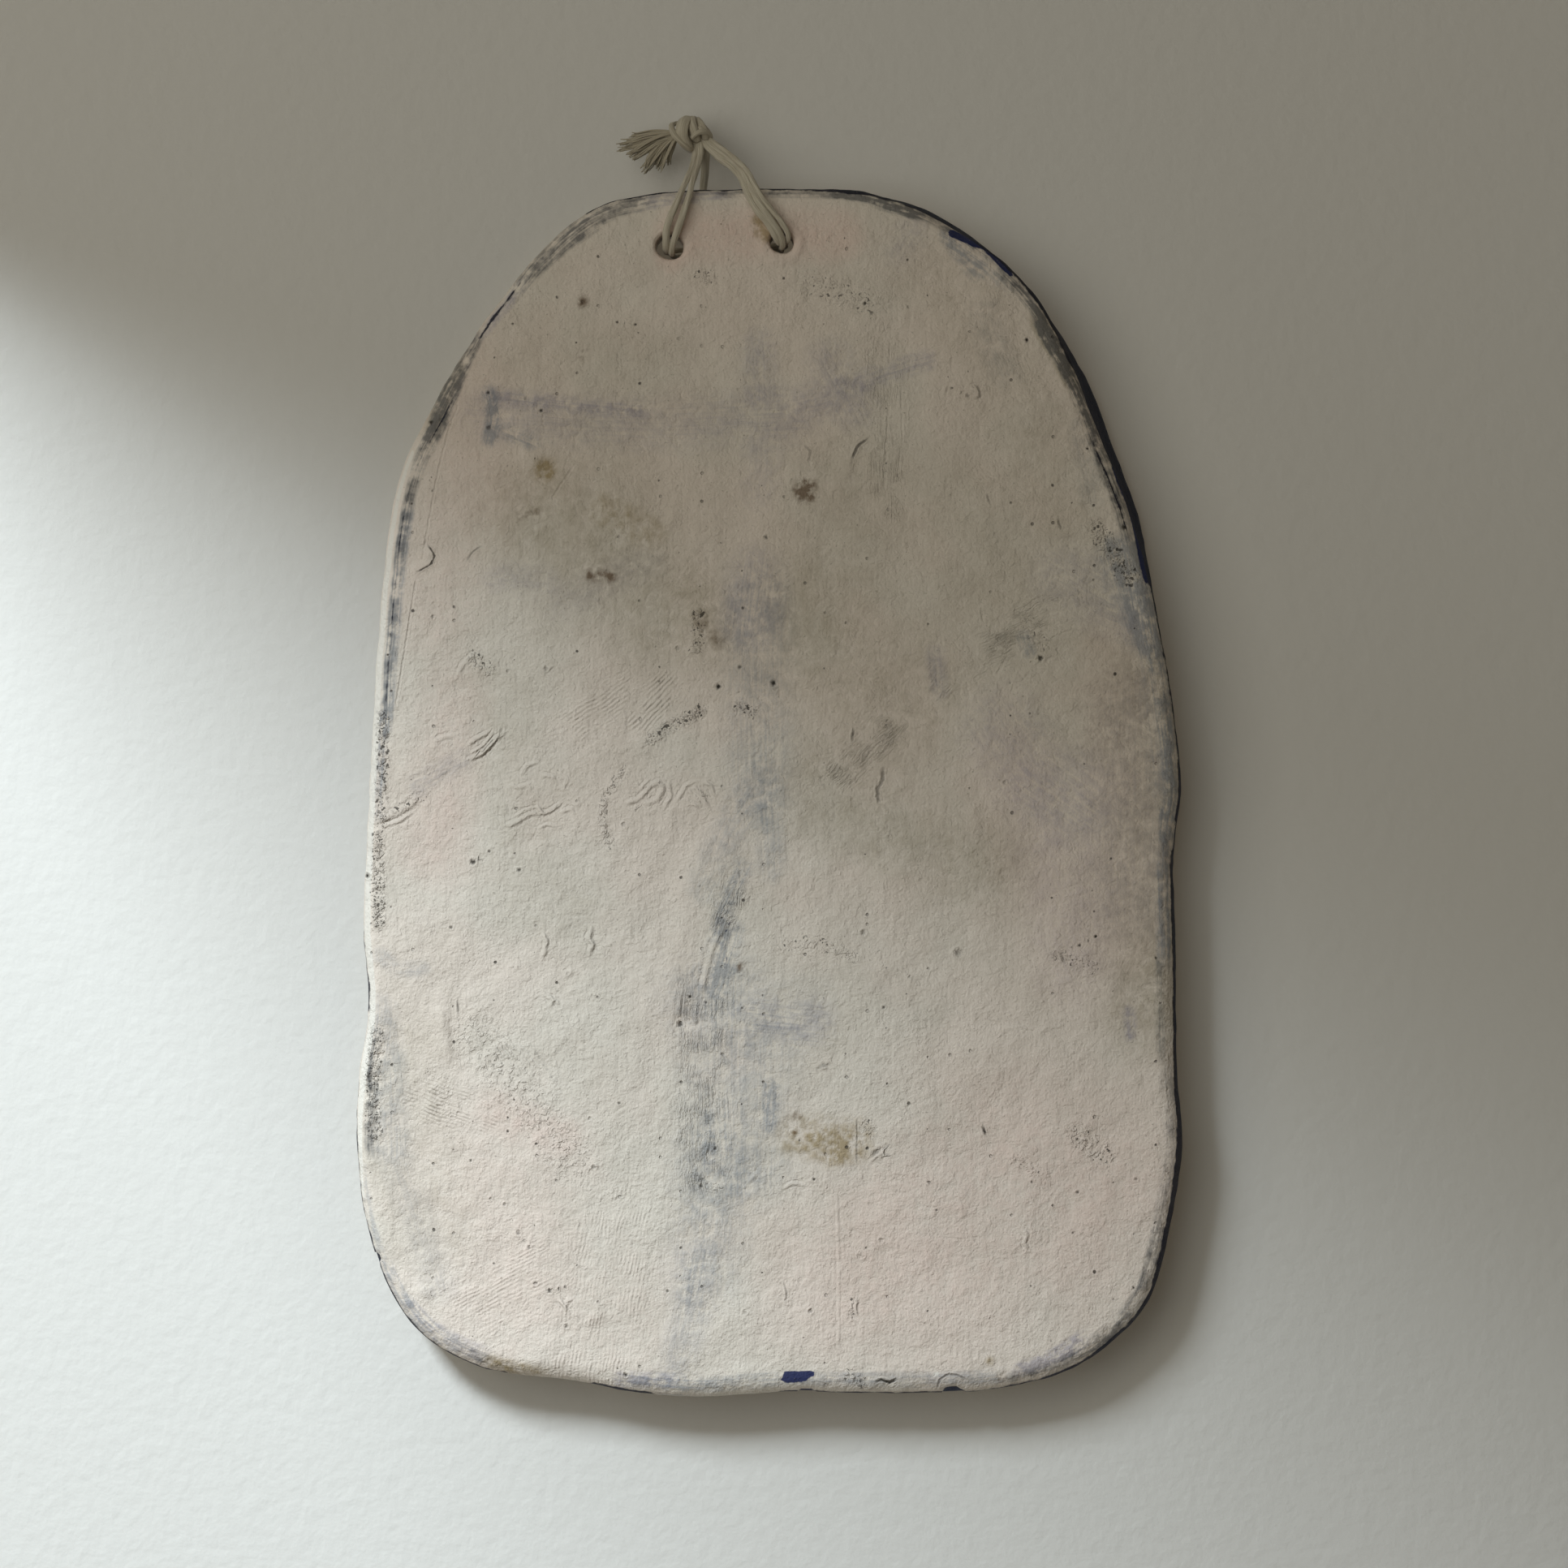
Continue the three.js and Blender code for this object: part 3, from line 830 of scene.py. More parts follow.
EDGE = -1.0
RIM_BANDS: tuple[RimBand, ...] = tuple(
    RimBand(paint, *row)
    for paint, rows in (
        # Painted shade: these grey bands darken the bevel strip, partly over a real grey wash
        (SHADE, (
            ((640, 1700), (560, 1668), (0.0, 0.0), (1.0, 2.0), 0.4),
            ((445, 1420), (456, 1270), (0.8, 0.9), (2.0, 2.2), 0.6),
            ((466, 890), (490, 620), (0.8, 1.0), (1.6, 2.3), 0.4),
            ((490, 620), (530, 510), (1.2, 0.4), (2.2, 2.5), 0.7),
            ((530, 510), (600, 415), (0.0, 0.0), (2.4, 0.9), 0.7),
            ((640, 355), (720, 275), (0.0, 0.0), (1.6, 2.4), 0.65),
            ((720, 275), (800, 246), (0.0, 0.0), (2.3, 1.6), 0.55),
            ((880, 238), (1040, 234), (0.0, 0.0), (0.8, 1.1), 0.45),
            ((1030, 235), (1130, 255), (0.0, 0.0), (1.1, 1.5), 1.1),
            ((1120, 250), (1215, 305), (0.0, 0.0), (1.2, 1.0), 0.6),
            ((1240, 330), (1300, 400), (0.0, 0.0), (1.6, 1.6), 0.75),
            ((1290, 390), (1362, 545), (0.0, 0.0), (2.1, 2.3), 1.3),
            ((1362, 545), (1400, 660), (0.6, 0.6), (2.4, 2.4), 0.6),
            ((1450, 1190), (1450, 1300), (1.5, 1.2), (2.3, 2.2), 0.45),
            ((1450, 1310), (1452, 1520), (0.2, 0.2), (2.0, 2.1), 0.35),
            ((1450, 1510), (1385, 1625), (0.1, 0.1), (2.0, 2.0), 0.5),
            ((1385, 1625), (1320, 1670), (0.1, 0.0), (2.1, 1.9), 0.6),
            ((1320, 1670), (1240, 1703), (0.0, 0.2), (1.6, 1.4), 0.4),
        )),
        (WASH, (
            ((560, 1668), (470, 1560), (0.0, 0.0), (2.2, 1.4), 0.55),
            ((470, 1560), (444, 1440), (0.15, 0.2), (1.2, 0.9), 0.5),
            ((466, 1010), (468, 870), (0.6, 0.6), (1.6, 1.7), 0.6),
            ((466, 900), (490, 620), (0.8, 1.1), (2.2, 2.5), 0.8),
            ((1400, 660), (1440, 800), (0.3, 0.3), (4.2, 2.6), 0.8),
            ((1435, 800), (1452, 1000), (0.3, 0.3), (2.0, 1.9), 0.55),
            ((1454, 1000), (1448, 1050), (0.2, 0.2), (2.3, 1.4), 0.9),
            ((1449, 1060), (1450, 1190), (0.3, 0.3), (1.8, 2.2), 0.55),
            ((1240, 1703), (960, 1715), (0.5, 0.7), (2.3, 2.3), 0.45),
            ((960, 1715), (765, 1712), (0.6, 0.4), (2.3, 2.0), 0.5),
        )),
        (LILAC, (
            ((590, 1680), (500, 1610), (0.4, 0.4), (2.6, 2.0), 0.4),
            ((600, 415), (650, 348), (0.2, 0.2), (1.3, 1.6), 0.6),
            ((790, 250), (900, 236), (0.0, 0.0), (1.9, 1.0), 0.6),
            ((1345, 1655), (1250, 1698), (1.2, 1.0), (3.4, 2.4), 0.9),
        )),
        (NAVY_AND_EDGE_SHADOW, (
            # Along the foot and the lower left these edge bands are a painted shadow line at the
            # outline; on the right they are navy underglaze
            ((620, 1692), (505, 1625), (EDGE, EDGE), (0.14, 0.2)),
            ((505, 1625), (443, 1330), (EDGE, EDGE), (0.16, 0.08)),
            ((452, 1245), (452, 1150), (EDGE, EDGE), (0.2, 0.14)),
            ((470, 860), (482, 640), (1.25, 1.35), (1.33, 1.42)),
            ((495, 605), (545, 490), (1.4, 1.6), (1.5, 1.72)),
            ((598, 418), (645, 352), (0.5, 0.5), (0.75, 0.75)),
            ((730, 268), (1010, 234), (EDGE, EDGE), (0.16, 0.2)),
            ((1005, 234), (1045, 235), (EDGE, EDGE), (0.2, 0.45)),
            ((1045, 235), (1100, 245), (EDGE, EDGE), (0.5, 0.3)),
            ((1100, 245), (1150, 262), (EDGE, EDGE), (0.3, 0.4)),
            ((1150, 262), (1245, 335), (EDGE, EDGE), (0.3, 0.25)),
            ((1245, 335), (1300, 400), (EDGE, EDGE), (0.3, 0.4)),
            ((1296, 392), (1330, 455), (EDGE, EDGE), (0.4, 0.9)),
            ((1330, 455), (1362, 540), (EDGE, EDGE), (0.9, 0.6)),
            ((1362, 540), (1385, 600), (EDGE, EDGE), (0.6, 0.9)),
            ((1385, 600), (1418, 720), (EDGE, EDGE), (0.35, 0.3)),
            ((1358, 545), (1396, 650), (1.75, 1.55), (1.95, 1.8)),
            ((1418, 720), (1448, 940), (EDGE, EDGE), (0.2, 0.16)),
            ((1448, 940), (1455, 1010), (EDGE, EDGE), (0.35, 0.3)),
            ((1449, 1050), (1450, 1290), (EDGE, EDGE), (0.4, 0.35)),
            ((1450, 1290), (1455, 1420), (EDGE, EDGE), (0.35, 0.7)),
            ((1455, 1420), (1420, 1580), (EDGE, EDGE), (0.7, 0.5)),
            ((1420, 1580), (1290, 1690), (EDGE, EDGE), (0.45, 0.25)),
            ((1290, 1690), (1180, 1715), (EDGE, EDGE), (0.2, 0.05)),
            ((1170, 1716), (960, 1716), (EDGE, EDGE), (0.12, 0.12)),
            ((800, 1716), (735, 1700), (EDGE, EDGE), (0.3, 0.2)),
        )),
        # Painted highlight: a bright band along the left rim where the rounded edge faces the light
        (CHALK_AND_HIGHLIGHT, (
            ((448, 1470), (444, 1330), (0.12, 0.1), (0.4, 0.8)),
            ((444, 1330), (470, 800), (0.1, 0.05), (0.85, 0.65)),
            ((470, 800), (515, 560), (0.05, 0.2), (0.7, 0.6)),
        )),
        (SMOKE, (
            ((520, 530), (580, 440), (0.0, 0.0), (2.2, 0.8), 0.9),
            ((1285, 380), (1335, 470), (0.0, 0.0), (2.4, 2.6), 1.0),
            # Painted shade on the right bevel at mid height
            ((1445, 860), (1455, 1000), (0.5, 0.5), (1.5, 1.5), 0.9),
        )),
        (COBALT, (
            ((1375, 575), (1414, 715), (EDGE, EDGE), (1.0, 0.9)),
        )),
    )
    for row in rows
)


@dataclass(frozen=True)
class LeaningEdge:
    """A place where the side wall leans out towards the back."""

    x: float
    z: float
    amount: float
    reach: float


@dataclass(frozen=True)
class Chip:
    """A knock on the edge: the ball of clay that is missing."""

    x: float
    z: float
    radius: float


@dataclass(frozen=True)
class Hole:
    """A hole poked through the clay, wider where the tool went in and came out."""

    x: float
    z: float
    radius: float
    front_flare: float
    ring_rise: float
    ring_gap: float = 0.5
    ring_width: float = 0.45
    back_flare: float = 0.25
    flare_depth: float = 0.6

    def gap(self, x: Array, z: Array) -> Array:
        """How far points of the plane are from the hole's middle."""
        return np.hypot(x - self.x, z - self.z)

    def circle(self, angle: Array, radius: Array | float) -> Array:
        """Places round the hole, whose edge is not quite round.

        Args:
            angle: the angles wanted.
            radius: how far out from the middle.

        Returns:
            One row of x and z for each angle.
        """
        oval, lobes = 0.04 * np.cos(2 * angle + 0.6), 0.025 * np.cos(3 * angle + self.x)
        wobble = 1 + oval + lobes
        return np.stack(
            [self.x + radius * wobble * np.cos(angle), self.z + radius * wobble * np.sin(angle)],
            axis=-1,
        )


@dataclass
class Contest:
    """The strongest and the second strongest claim on each point so far."""

    best: Array
    second: Array

    def enter(self, near: Array, strength: Array) -> Array:
        """Enters one claim.

        Args:
            near: the numbers of the points that it is on.
            strength: how strong it is on each.

        Returns:
            Whether it is the strongest so far on each.
        """
        best = self.best[near]
        wins = strength > best
        self.second[near] = np.where(wins, best, np.maximum(self.second[near], strength))
        self.best[near] = np.where(wins, strength, best)
        return wins


@dataclass
class Slab:
    """The plaque's clay slab: front, bevel, side wall, back and two cord holes."""

    outline: tuple[Pair, ...] = (
        (-6.3, -6.1), (1.3, -5.6), (11.5, -5.5), (18.5, -5.7),
        (25.6, -7.7), (32.1, -12.0), (37.9, -18.1), (43.0, -26.3),
        (46.2, -34.4), (49.0, -42.3), (51.0, -52.7), (52.8, -63.1),
        (53.7, -72.2), (52.9, -80.3), (53.1, -91.1), (53.3, -104.6),
        (53.9, -112.1), (52.8, -120.1), (50.3, -129.2), (45.6, -134.6),
        (39.1, -138.3), (30.4, -139.9), (19.8, -140.1), (9.3, -140.0),
        (-1.2, -140.5), (-8.2, -139.9), (-15.1, -138.5), (-23.9, -137.4),
        (-31.3, -133.5), (-35.1, -128.2), (-37.4, -121.6), (-38.6, -113.6),
        (-38.5, -105.0), (-37.4, -97.2), (-37.9, -88.1), (-37.5, -77.4),
        (-36.9, -66.1), (-36.2, -54.7), (-35.1, -44.0), (-33.5, -36.7),
        (-29.7, -28.9), (-24.5, -20.5), (-18.4, -12.8), (-12.5, -8.0),
    )
    patch_corners: tuple[int, int, int, int] = (41, 6, 18, 29)
    middle: Pair = (7.6, -73.0)
    back_y: float = -1.8
    thickness: float = 6.5
    bevel_drop: float = 1.2
    bevel_width: float = 1.4
    bevel_extra_at_foot: float = 0.9
    bevel_extra_on_right: float = 0.5
    pillow_rise: float = 0.3
    long_wave: float = 0.12
    slant_wave: float = 0.08
    base_lean: float = 0.1
    leaning: tuple[LeaningEdge, ...] = (
        LeaningEdge(26.5, -8.5, 0.9, 7), LeaningEdge(44.0, -29.5, 1.3, 9),
        LeaningEdge(49.0, -42.0, 0.8, 8), LeaningEdge(53.5, -90.0, 0.4, 45),
    )
    holes: tuple[Hole, ...] = (
        Hole(-3.65, -12.1, 1.5, front_flare=0.4, ring_rise=0.05),
        Hole(8.85, -11.65, 1.28, front_flare=0.3, ring_rise=0.16),
    )
    cells_across: int = 208
    cells_down: int = 312
    hole_cells: int = 14
    collar_rings: int = 7
    bevel_rings: int = 6
    chips: tuple[Chip, ...] = (
        Chip(-37.0, -125.1, 0.9), Chip(11.6, -140.5, 1.0),
        Chip(27.9, -140.4, 1.1), Chip(-36.6, -49.2, 0.7),
    )
    # Height, width, layers and seed of each noise in the front, then in the wall
    front_noises: tuple[tuple[float, float, int, int], ...] = (
        (0.16, 15, 2, 3), (0.11, 4.5, 2, 11), (0.045, 1.7, 1, 23),
    )
    wall_noises: tuple[tuple[float, float, int, int], ...] = (
        (0.07, 1.6, 1, 41), (0.05, 0.7, 1, 43),
    )
    # How a chip's ball is flattened, and how far it pushes inwards and back
    chip_stretch: Point = (1.3, 1.0, 1.0)
    chip_push: Pair = (0.8, 0.55)
    # Depths below the front where its paint fades out, and where the wall's starts
    front_fade: Pair = (1.6, 3.0)
    wall_start: Pair = (1.0, 1.7)
    # How far in the streaks turn to follow the rim, and how strongly
    rim_flow: Pair = (3.4, 2.4)
    rim_flow_strength: float = 1.5
    # How softly a rim band starts across its sides and at its ends
    band_sides: Pair = (-0.25, 0.3)
    band_ends: Pair = (-1.6, 1.6)
    # How sure a brush stroke has to be before its streaks show
    least_flow: float = 0.12
    # How strongly the cord holes' bores are darkened, as painted shade
    painted_shade_in_holes: float = 0.75
    # How far round a fine mark the mesh keeps its place
    fine_hold: float = 0.62
    strokes: tuple[Stroke, ...] = STROKES
    marks: tuple[Mark, ...] = MARKS
    pits: tuple[Pit, ...] = PITS
    combings: tuple[Combing, ...] = COMBINGS
    rim_bands: tuple[RimBand, ...] = RIM_BANDS

    @property
    def front_y(self) -> float:
        """The plane that the front rises from."""
        return self.back_y - self.thickness

    def curve(self, station: Array) -> tuple[Array, Array]:
        """The cut outline: a closed Catmull-Rom curve through the outline's points.

        Args:
            station: places along the curve, where whole numbers are the points.

        Returns:
            The places, and the unit normals that point out of the slab.
        """
        points = np.array(self.outline)
        index = np.floor(station).astype(int)
        corners = [points[(index + k) % len(points)] for k in (-1, 0, 1, 2)]
        place, heading = catmull_rom(corners, (station - index)[:, None])
        heading /= np.linalg.norm(heading, axis=1, keepdims=True)
        return place, np.stack([-heading[:, 1], heading[:, 0]], axis=1)

    def ring_stations(self) -> Array:
        """Spaces the outline ring's places evenly along each side of the patch.

        Returns:
            Their stations on the curve.
        """
        count, samples = len(self.outline), 1200
        corners = self.patch_corners + self.patch_corners[:1]
        sides = (self.cells_across, self.cells_down, self.cells_across, self.cells_down)
        parts = []
        for start, end, cells in zip(corners[:-1], corners[1:], sides):
            end = start + (end - start) % count
            fine = np.linspace(start, end, samples)
            walked = walk(self.curve(fine % count)[0])
            parts.append(np.interp(np.linspace(0, walked[-1], cells + 1)[:-1], walked, fine))
        return np.concatenate(parts) % count

    def lean(self, place: Array) -> Array:
        """How far the side wall leans in at its top, a sum of bell curves.

        Args:
            place: places of the outline.

        Returns:
            The lean in millimetres at each.
        """
        total = np.full(len(place), self.base_lean)
        for wall in self.leaning:
            gap = np.hypot(place[:, 0] - wall.x, place[:, 1] - wall.z)
            total += wall.amount * np.exp(-((gap / wall.reach) ** 2))
        return total

    def bevel(self, normal: Array) -> Array:
        """How wide the bevel is where the edge faces this way.

        Args:
            normal: unit normals that point out of the slab.

        Returns:
            The width in millimetres at each.
        """
        return (
            self.bevel_width
            + self.bevel_extra_at_foot * np.maximum(0, -normal[:, 1])
            + self.bevel_extra_on_right * np.maximum(0, normal[:, 0]) ** 2
        )

    def patch(self, ring: Array, across: int, down: int) -> Array:
        """A smooth grid inside a closed ring.

        It is the Coons patch of the ring's four sides: the two ways of ruling straight
        lines between opposite sides are added and the corners' plain blend is taken
        away. Then the inner points are averaged with their neighbours to even them out.

        Args:
            ring: places clockwise from the top left corner of the patch.
            across: cells from left to right.
            down: cells from top to bottom.

        Returns:
            Places in rows from the top, each from left to right.
        """
        marks = np.cumsum([0, across, down, across, down])
        closed = np.concatenate([ring, ring[:1]])
        top, right, bottom, left = (closed[a:b + 1] for a, b in zip(marks[:-1], marks[1:]))
        bottom, left = bottom[::-1], left[::-1]
        u = np.linspace(0, 1, across + 1)[None, :, None]
        v = np.linspace(0, 1, down + 1)[:, None, None]
        ruled = (
            (1 - v) * top[None] + v * bottom[None] + (1 - u) * left[:, None] + u * right[:, None]
        )
        blend = (
            (1 - u) * (1 - v) * top[0] + u * (1 - v) * top[-1]
            + (1 - u) * v * bottom[0] + u * v * bottom[-1]
        )
        grid = ruled - blend
        evening_passes = 60
        for _ in range(evening_passes):
            grid[1:-1, 1:-1] = (
                grid[:-2, 1:-1] + grid[2:, 1:-1] + grid[1:-1, :-2] + grid[1:-1, 2:]
            ) / 4
        return grid

    def border(self, grid: Array) -> Array:
        """Reads a grid round its border, clockwise from its top left.

        Args:
            grid: rows of vertex numbers, or of one coordinate of their places.

        Returns:
            The border's values in turn.
        """
        return np.concatenate(
            [grid[0, :-1], grid[:-1, -1], grid[-1, :0:-1], grid[:0:-1, 0]]
        )

    def face_rise(self, x: Array, z: Array) -> Array:
        """How far the front stands out of its plane, before any mark.

        It is a pillow that rises with the square root of the share of the way in from
        the rim to the middle, and two long waves that fade towards the rim.

        Args:
            x: first coordinate of the points.
            z: second coordinate of the points.

        Returns:
            The rise in millimetres of each point.
        """
        dx, dz = x - self.middle[0], z - self.middle[1]
        rim_x, rim_z = (self.rim - self.middle).T
        rim_angle, rim_radius = np.arctan2(rim_z, rim_x), np.hypot(rim_x, rim_z)
        order = np.argsort(rim_angle)
        radius = np.interp(
            np.arctan2(dz, dx), rim_angle[order], rim_radius[order], period=2 * math.pi
        )
        inward = np.clip(1 - np.hypot(dx, dz) / radius, 0, 1)
        first_step = 0.004
        pillow = self.pillow_rise * (np.sqrt(inward + first_step) - math.sqrt(first_step))
        waves = self.long_wave * np.sin(x / 11 + 0.8) * np.cos(z / 19)
        waves = waves + self.slant_wave * np.sin((x + z) / 13)
        return pillow + waves * inward

    def build(self) -> bpy.types.Object:
        """Builds the slab's closed mesh with its marks and paint masks.

        The front is a patch grid with a square of cells left out at each hole, where
        collar rings run in to the hole, through the clay, and out over the back. Rings
        of the outline run from the front's rim over the bevel and the side wall to a
        back grid of half as many cells.

        Returns:
            The slab's object.
        """
        station = self.ring_stations()
        place, normal = self.curve(station)
        lean, bevel = self.lean(place), self.bevel(normal)
        self.ring, self.outward = place, normal
        self.rim = place - normal * (lean + bevel)[:, None]
        shell = Shell()

        grid = self.patch(self.rim, self.cells_across, self.cells_down)
        front = shell.add(self.lifted(grid, self.front_y))
        back_inset = 1.1
        back_ring = (place - normal * back_inset)[::2]
        back_grid = self.patch(back_ring, self.cells_across // 2, self.cells_down // 2)
        back = shell.add(self.lifted(back_grid, self.back_y))

        rings = [self.border(front)]
        for inset, y in self.edge_profile(lean, bevel):
            rings.append(shell.add(self.lifted(place - normal * inset[:, None], y)))
        shell.quads(np.stack(rings), closed=True)
        shell.halve(rings[-1], self.border(back))

        for sheet, flip in ((front, True), (back, False)):
            quads = np.stack(
                [sheet[:-1, :-1], sheet[:-1, 1:], sheet[1:, 1:], sheet[1:, :-1]], axis=-1
            )
            keep = np.ones(quads.shape[:2], bool)
            for hole in self.holes:
                rows, columns = self.hole_block(grid, hole, coarse=not flip)
                keep[rows, columns] = False
            chosen = quads[keep]
            shell.faces.append(chosen[:, ::-1] if flip else chosen)
        for hole in self.holes:
            self.add_hole(shell, hole, grid, front, back)

        points, faces = shell.gather()
        points = self.worked(points)
        slab = make_object("plaque_slab", points, faces)
        self.paint(slab, points)
        return slab

    def lifted(self, flat: Array, y: Array | float) -> Array:
        """Puts flat places at a depth."""
        return np.stack([flat[..., 0], np.broadcast_to(y, flat.shape[:-1]), flat[..., 1]], axis=-1)

    def edge_profile(self, lean: Array, bevel: Array) -> list[tuple[Array, float]]:
        """The edge's section from just outside the rim round to the back.

        Args:
            lean: how far in the wall's top is, at each place of the ring.
            bevel: how wide the bevel is there.

        Returns:
            How far each ring is in from the outline, and its depth.
        """
        profile = []
        for share in np.linspace(1, 0, self.bevel_rings + 1)[1:]:
            drop = self.bevel_drop * (1 - share) ** 2.2
            profile.append((lean + share * bevel, self.front_y + drop))
        middle_y = (self.front_y + self.bevel_drop + self.back_y) / 2
        for share, y in ((0.8, middle_y - 1.2), (0.5, middle_y + 0.2), (0.15, self.back_y - 1.4)):
            profile.append((lean * share, y))
        for inset, step in ((0.0, 0.7), (0.15, 0.2), (0.5, 0.0)):
            profile.append((np.full_like(lean, inset), self.back_y - step))
        return profile

    def hole_block(self, grid: Array, hole: Hole, coarse: bool = False) -> tuple[slice, slice]:
        """The square of cells of the front grid, or of the back, that a hole takes.

        Args:
            grid: places of the front grid.
            hole: the hole.
            coarse: whether the back's cells are wanted.

        Returns:
            The square's rows and columns.
        """
        gap = hole.gap(grid[..., 0], grid[..., 1])
        row, column = np.unravel_index(np.argmin(gap), gap.shape)
        half = self.hole_cells // 2
        starts = [2 * round((k - half) / 2) for k in (row, column)]
        scale = 2 if coarse else 1
        return tuple(
            slice(start // scale, (start + self.hole_cells) // scale) for start in starts
        )

    def add_hole(
        self, shell: Shell, hole: Hole, grid: Array, front: Array, back: Array
    ) -> None:
        """Adds the collar, the bore and the back collar of a hole.

        Args:
            shell: the mesh so far.
            hole: the hole.
            grid: places of the front grid.
            front: vertex numbers of the front grid.
            back: vertex numbers of the back grid.
        """
        blocks = [self.hole_block(grid, hole, coarse) for coarse in (False, True)]
        windows = [tuple(slice(s.start, s.stop + 1) for s in block) for block in blocks]
        loops = [self.border(numbers[at]) for numbers, at in zip((front, back), windows)]
        border = np.stack([self.border(grid[..., k][windows[0]]) for k in (0, 1)], axis=-1)
        angle = np.unwrap(np.arctan2(border[:, 1] - hole.z, border[:, 0] - hole.x))
        lip = hole.circle(angle, hole.radius + hole.front_flare)
        rings = [loops[0]]
        for share in (np.arange(1, self.collar_rings + 1) / self.collar_rings) ** 0.8:
            rings.append(shell.add(self.lifted(border + (lip - border) * share, self.front_y)))
        for turn in (0.25, 0.5, 0.75, 1.0):
            out = hole.front_flare * (1 - math.sin(turn * math.pi / 2))
            depth = hole.flare_depth * (1 - math.cos(turn * math.pi / 2))
            rings.append(
                shell.add(self.lifted(hole.circle(angle, hole.radius + out), self.front_y + depth))
            )
        # Depths down the bore, and how far each ring is out from its radius
        for y, out in (
            (-6.6, 0.0), (-5.2, -0.04), (-3.8, 0.0), (self.back_y - hole.flare_depth, 0.0),
            (self.back_y - 0.15, hole.back_flare * 0.5), (self.back_y, hole.back_flare),
        ):
            rings.append(shell.add(self.lifted(hole.circle(angle, hole.radius + out), y)))
        mid = hole.circle(angle, hole.radius + hole.back_flare + 0.5)
        rings.append(shell.add(self.lifted(mid, self.back_y)))
        shell.quads(np.stack(rings), closed=True, flip=True)
        shell.halve(rings[-1], loops[1], flip=True)

    def mark_height(self, mark: Mark, x: Array, z: Array) -> tuple[Array, Array]:
        """How far a mark lifts the mesh, and how crumbly or gritty it leaves the slip.

        Dents are bell curves of the distance, and folds are lopsided bells across their
        line that taper at its ends. A torn patch lifts along the crests of a folded
        noise. A scratch is too fine for the mesh and is left to the slip's bump.

        Args:
            mark: the mark.
            x: first coordinate of the points.
            z: second coordinate of the points.

        Returns:
            The rise in millimetres and how torn the slip is, in millimetres of flake.
        """
        path = VIEW.place(mark.path, self.front_y)
        gap, side, along = to_broken_line(x, z, path)
        bell = np.exp(-((2 * gap / mark.width) ** 2))
        if mark.relief is DENT:
            return -mark.depth * bell, np.zeros_like(x)
        if mark.relief is TORN:
            crumb = 1 - 2.2 * np.abs(layered_noise(x, z, size=1.5, octaves=2, seed=77))
            cover = np.clip(1 - (1.7 * gap / mark.width) ** 2, 0, 1)
            return 0.5 * mark.depth * crumb * cover, mark.depth * cover
        length = walk(path)[-1]
        ends = np.minimum(along, length - along) / max(min(length / 3, 3 * mark.width), 1e-6)
        steep, gentle = 0.3 * mark.width, 0.75 * mark.width
        rise = mark.depth * np.exp(-((side / np.where(side > 0, steep, gentle)) ** 2))
        rise *= 0.25 + 0.75 * smooth_step(0, 1, ends)
        beyond = np.maximum(0, gap - np.abs(side)) / mark.width
        return rise * np.exp(-beyond ** 2), np.zeros_like(x)

    def near(self, x: Array, z: Array, path: Array, reach: float) -> Array:
        """The numbers of the points in the box that is this much wider than a path."""
        low, high = path.min(0) - reach, path.max(0) + reach
        return np.flatnonzero((x > low[0]) & (x < high[0]) & (z > low[1]) & (z < high[1]))

    def relief(self, x: Array, z: Array) -> Array:
        """The slip's own unevenness and every mark in it that the mesh can hold.

        Three noises give slow humps, finger-wide lumps and a soft orange peel, and the
        marks are added to them. What is torn or gritty is kept for the paint.

        Args:
            x: first coordinate of the points.
            z: second coordinate of the points.

        Returns:
            The rise in millimetres of each point.
        """
        rise = sum(high * layered_noise(x, z, *noise) for high, *noise in self.front_noises)
        self.torn, self.grit = np.zeros_like(x), np.zeros_like(x)
        for hole in self.holes:
            crest = hole.radius + hole.front_flare + hole.ring_gap
            rise += hole.ring_rise * np.exp(-(((hole.gap(x, z) - crest) / hole.ring_width) ** 2))
        for mark in self.marks:
            if mark.relief in (SCRATCH, CREASE):
                continue
            near = self.near(x, z, VIEW.place(mark.path, self.front_y), 2.5 * mark.width)
            if len(near):
                lifted, torn = self.mark_height(mark, x[near], z[near])
                rise[near] += lifted
                self.torn[near] = np.maximum(self.torn[near], torn)
                dirt = mark.grit * smooth_step(0, max(mark.depth, 1e-6), torn)
                self.grit[near] = np.maximum(self.grit[near], dirt)
        return rise

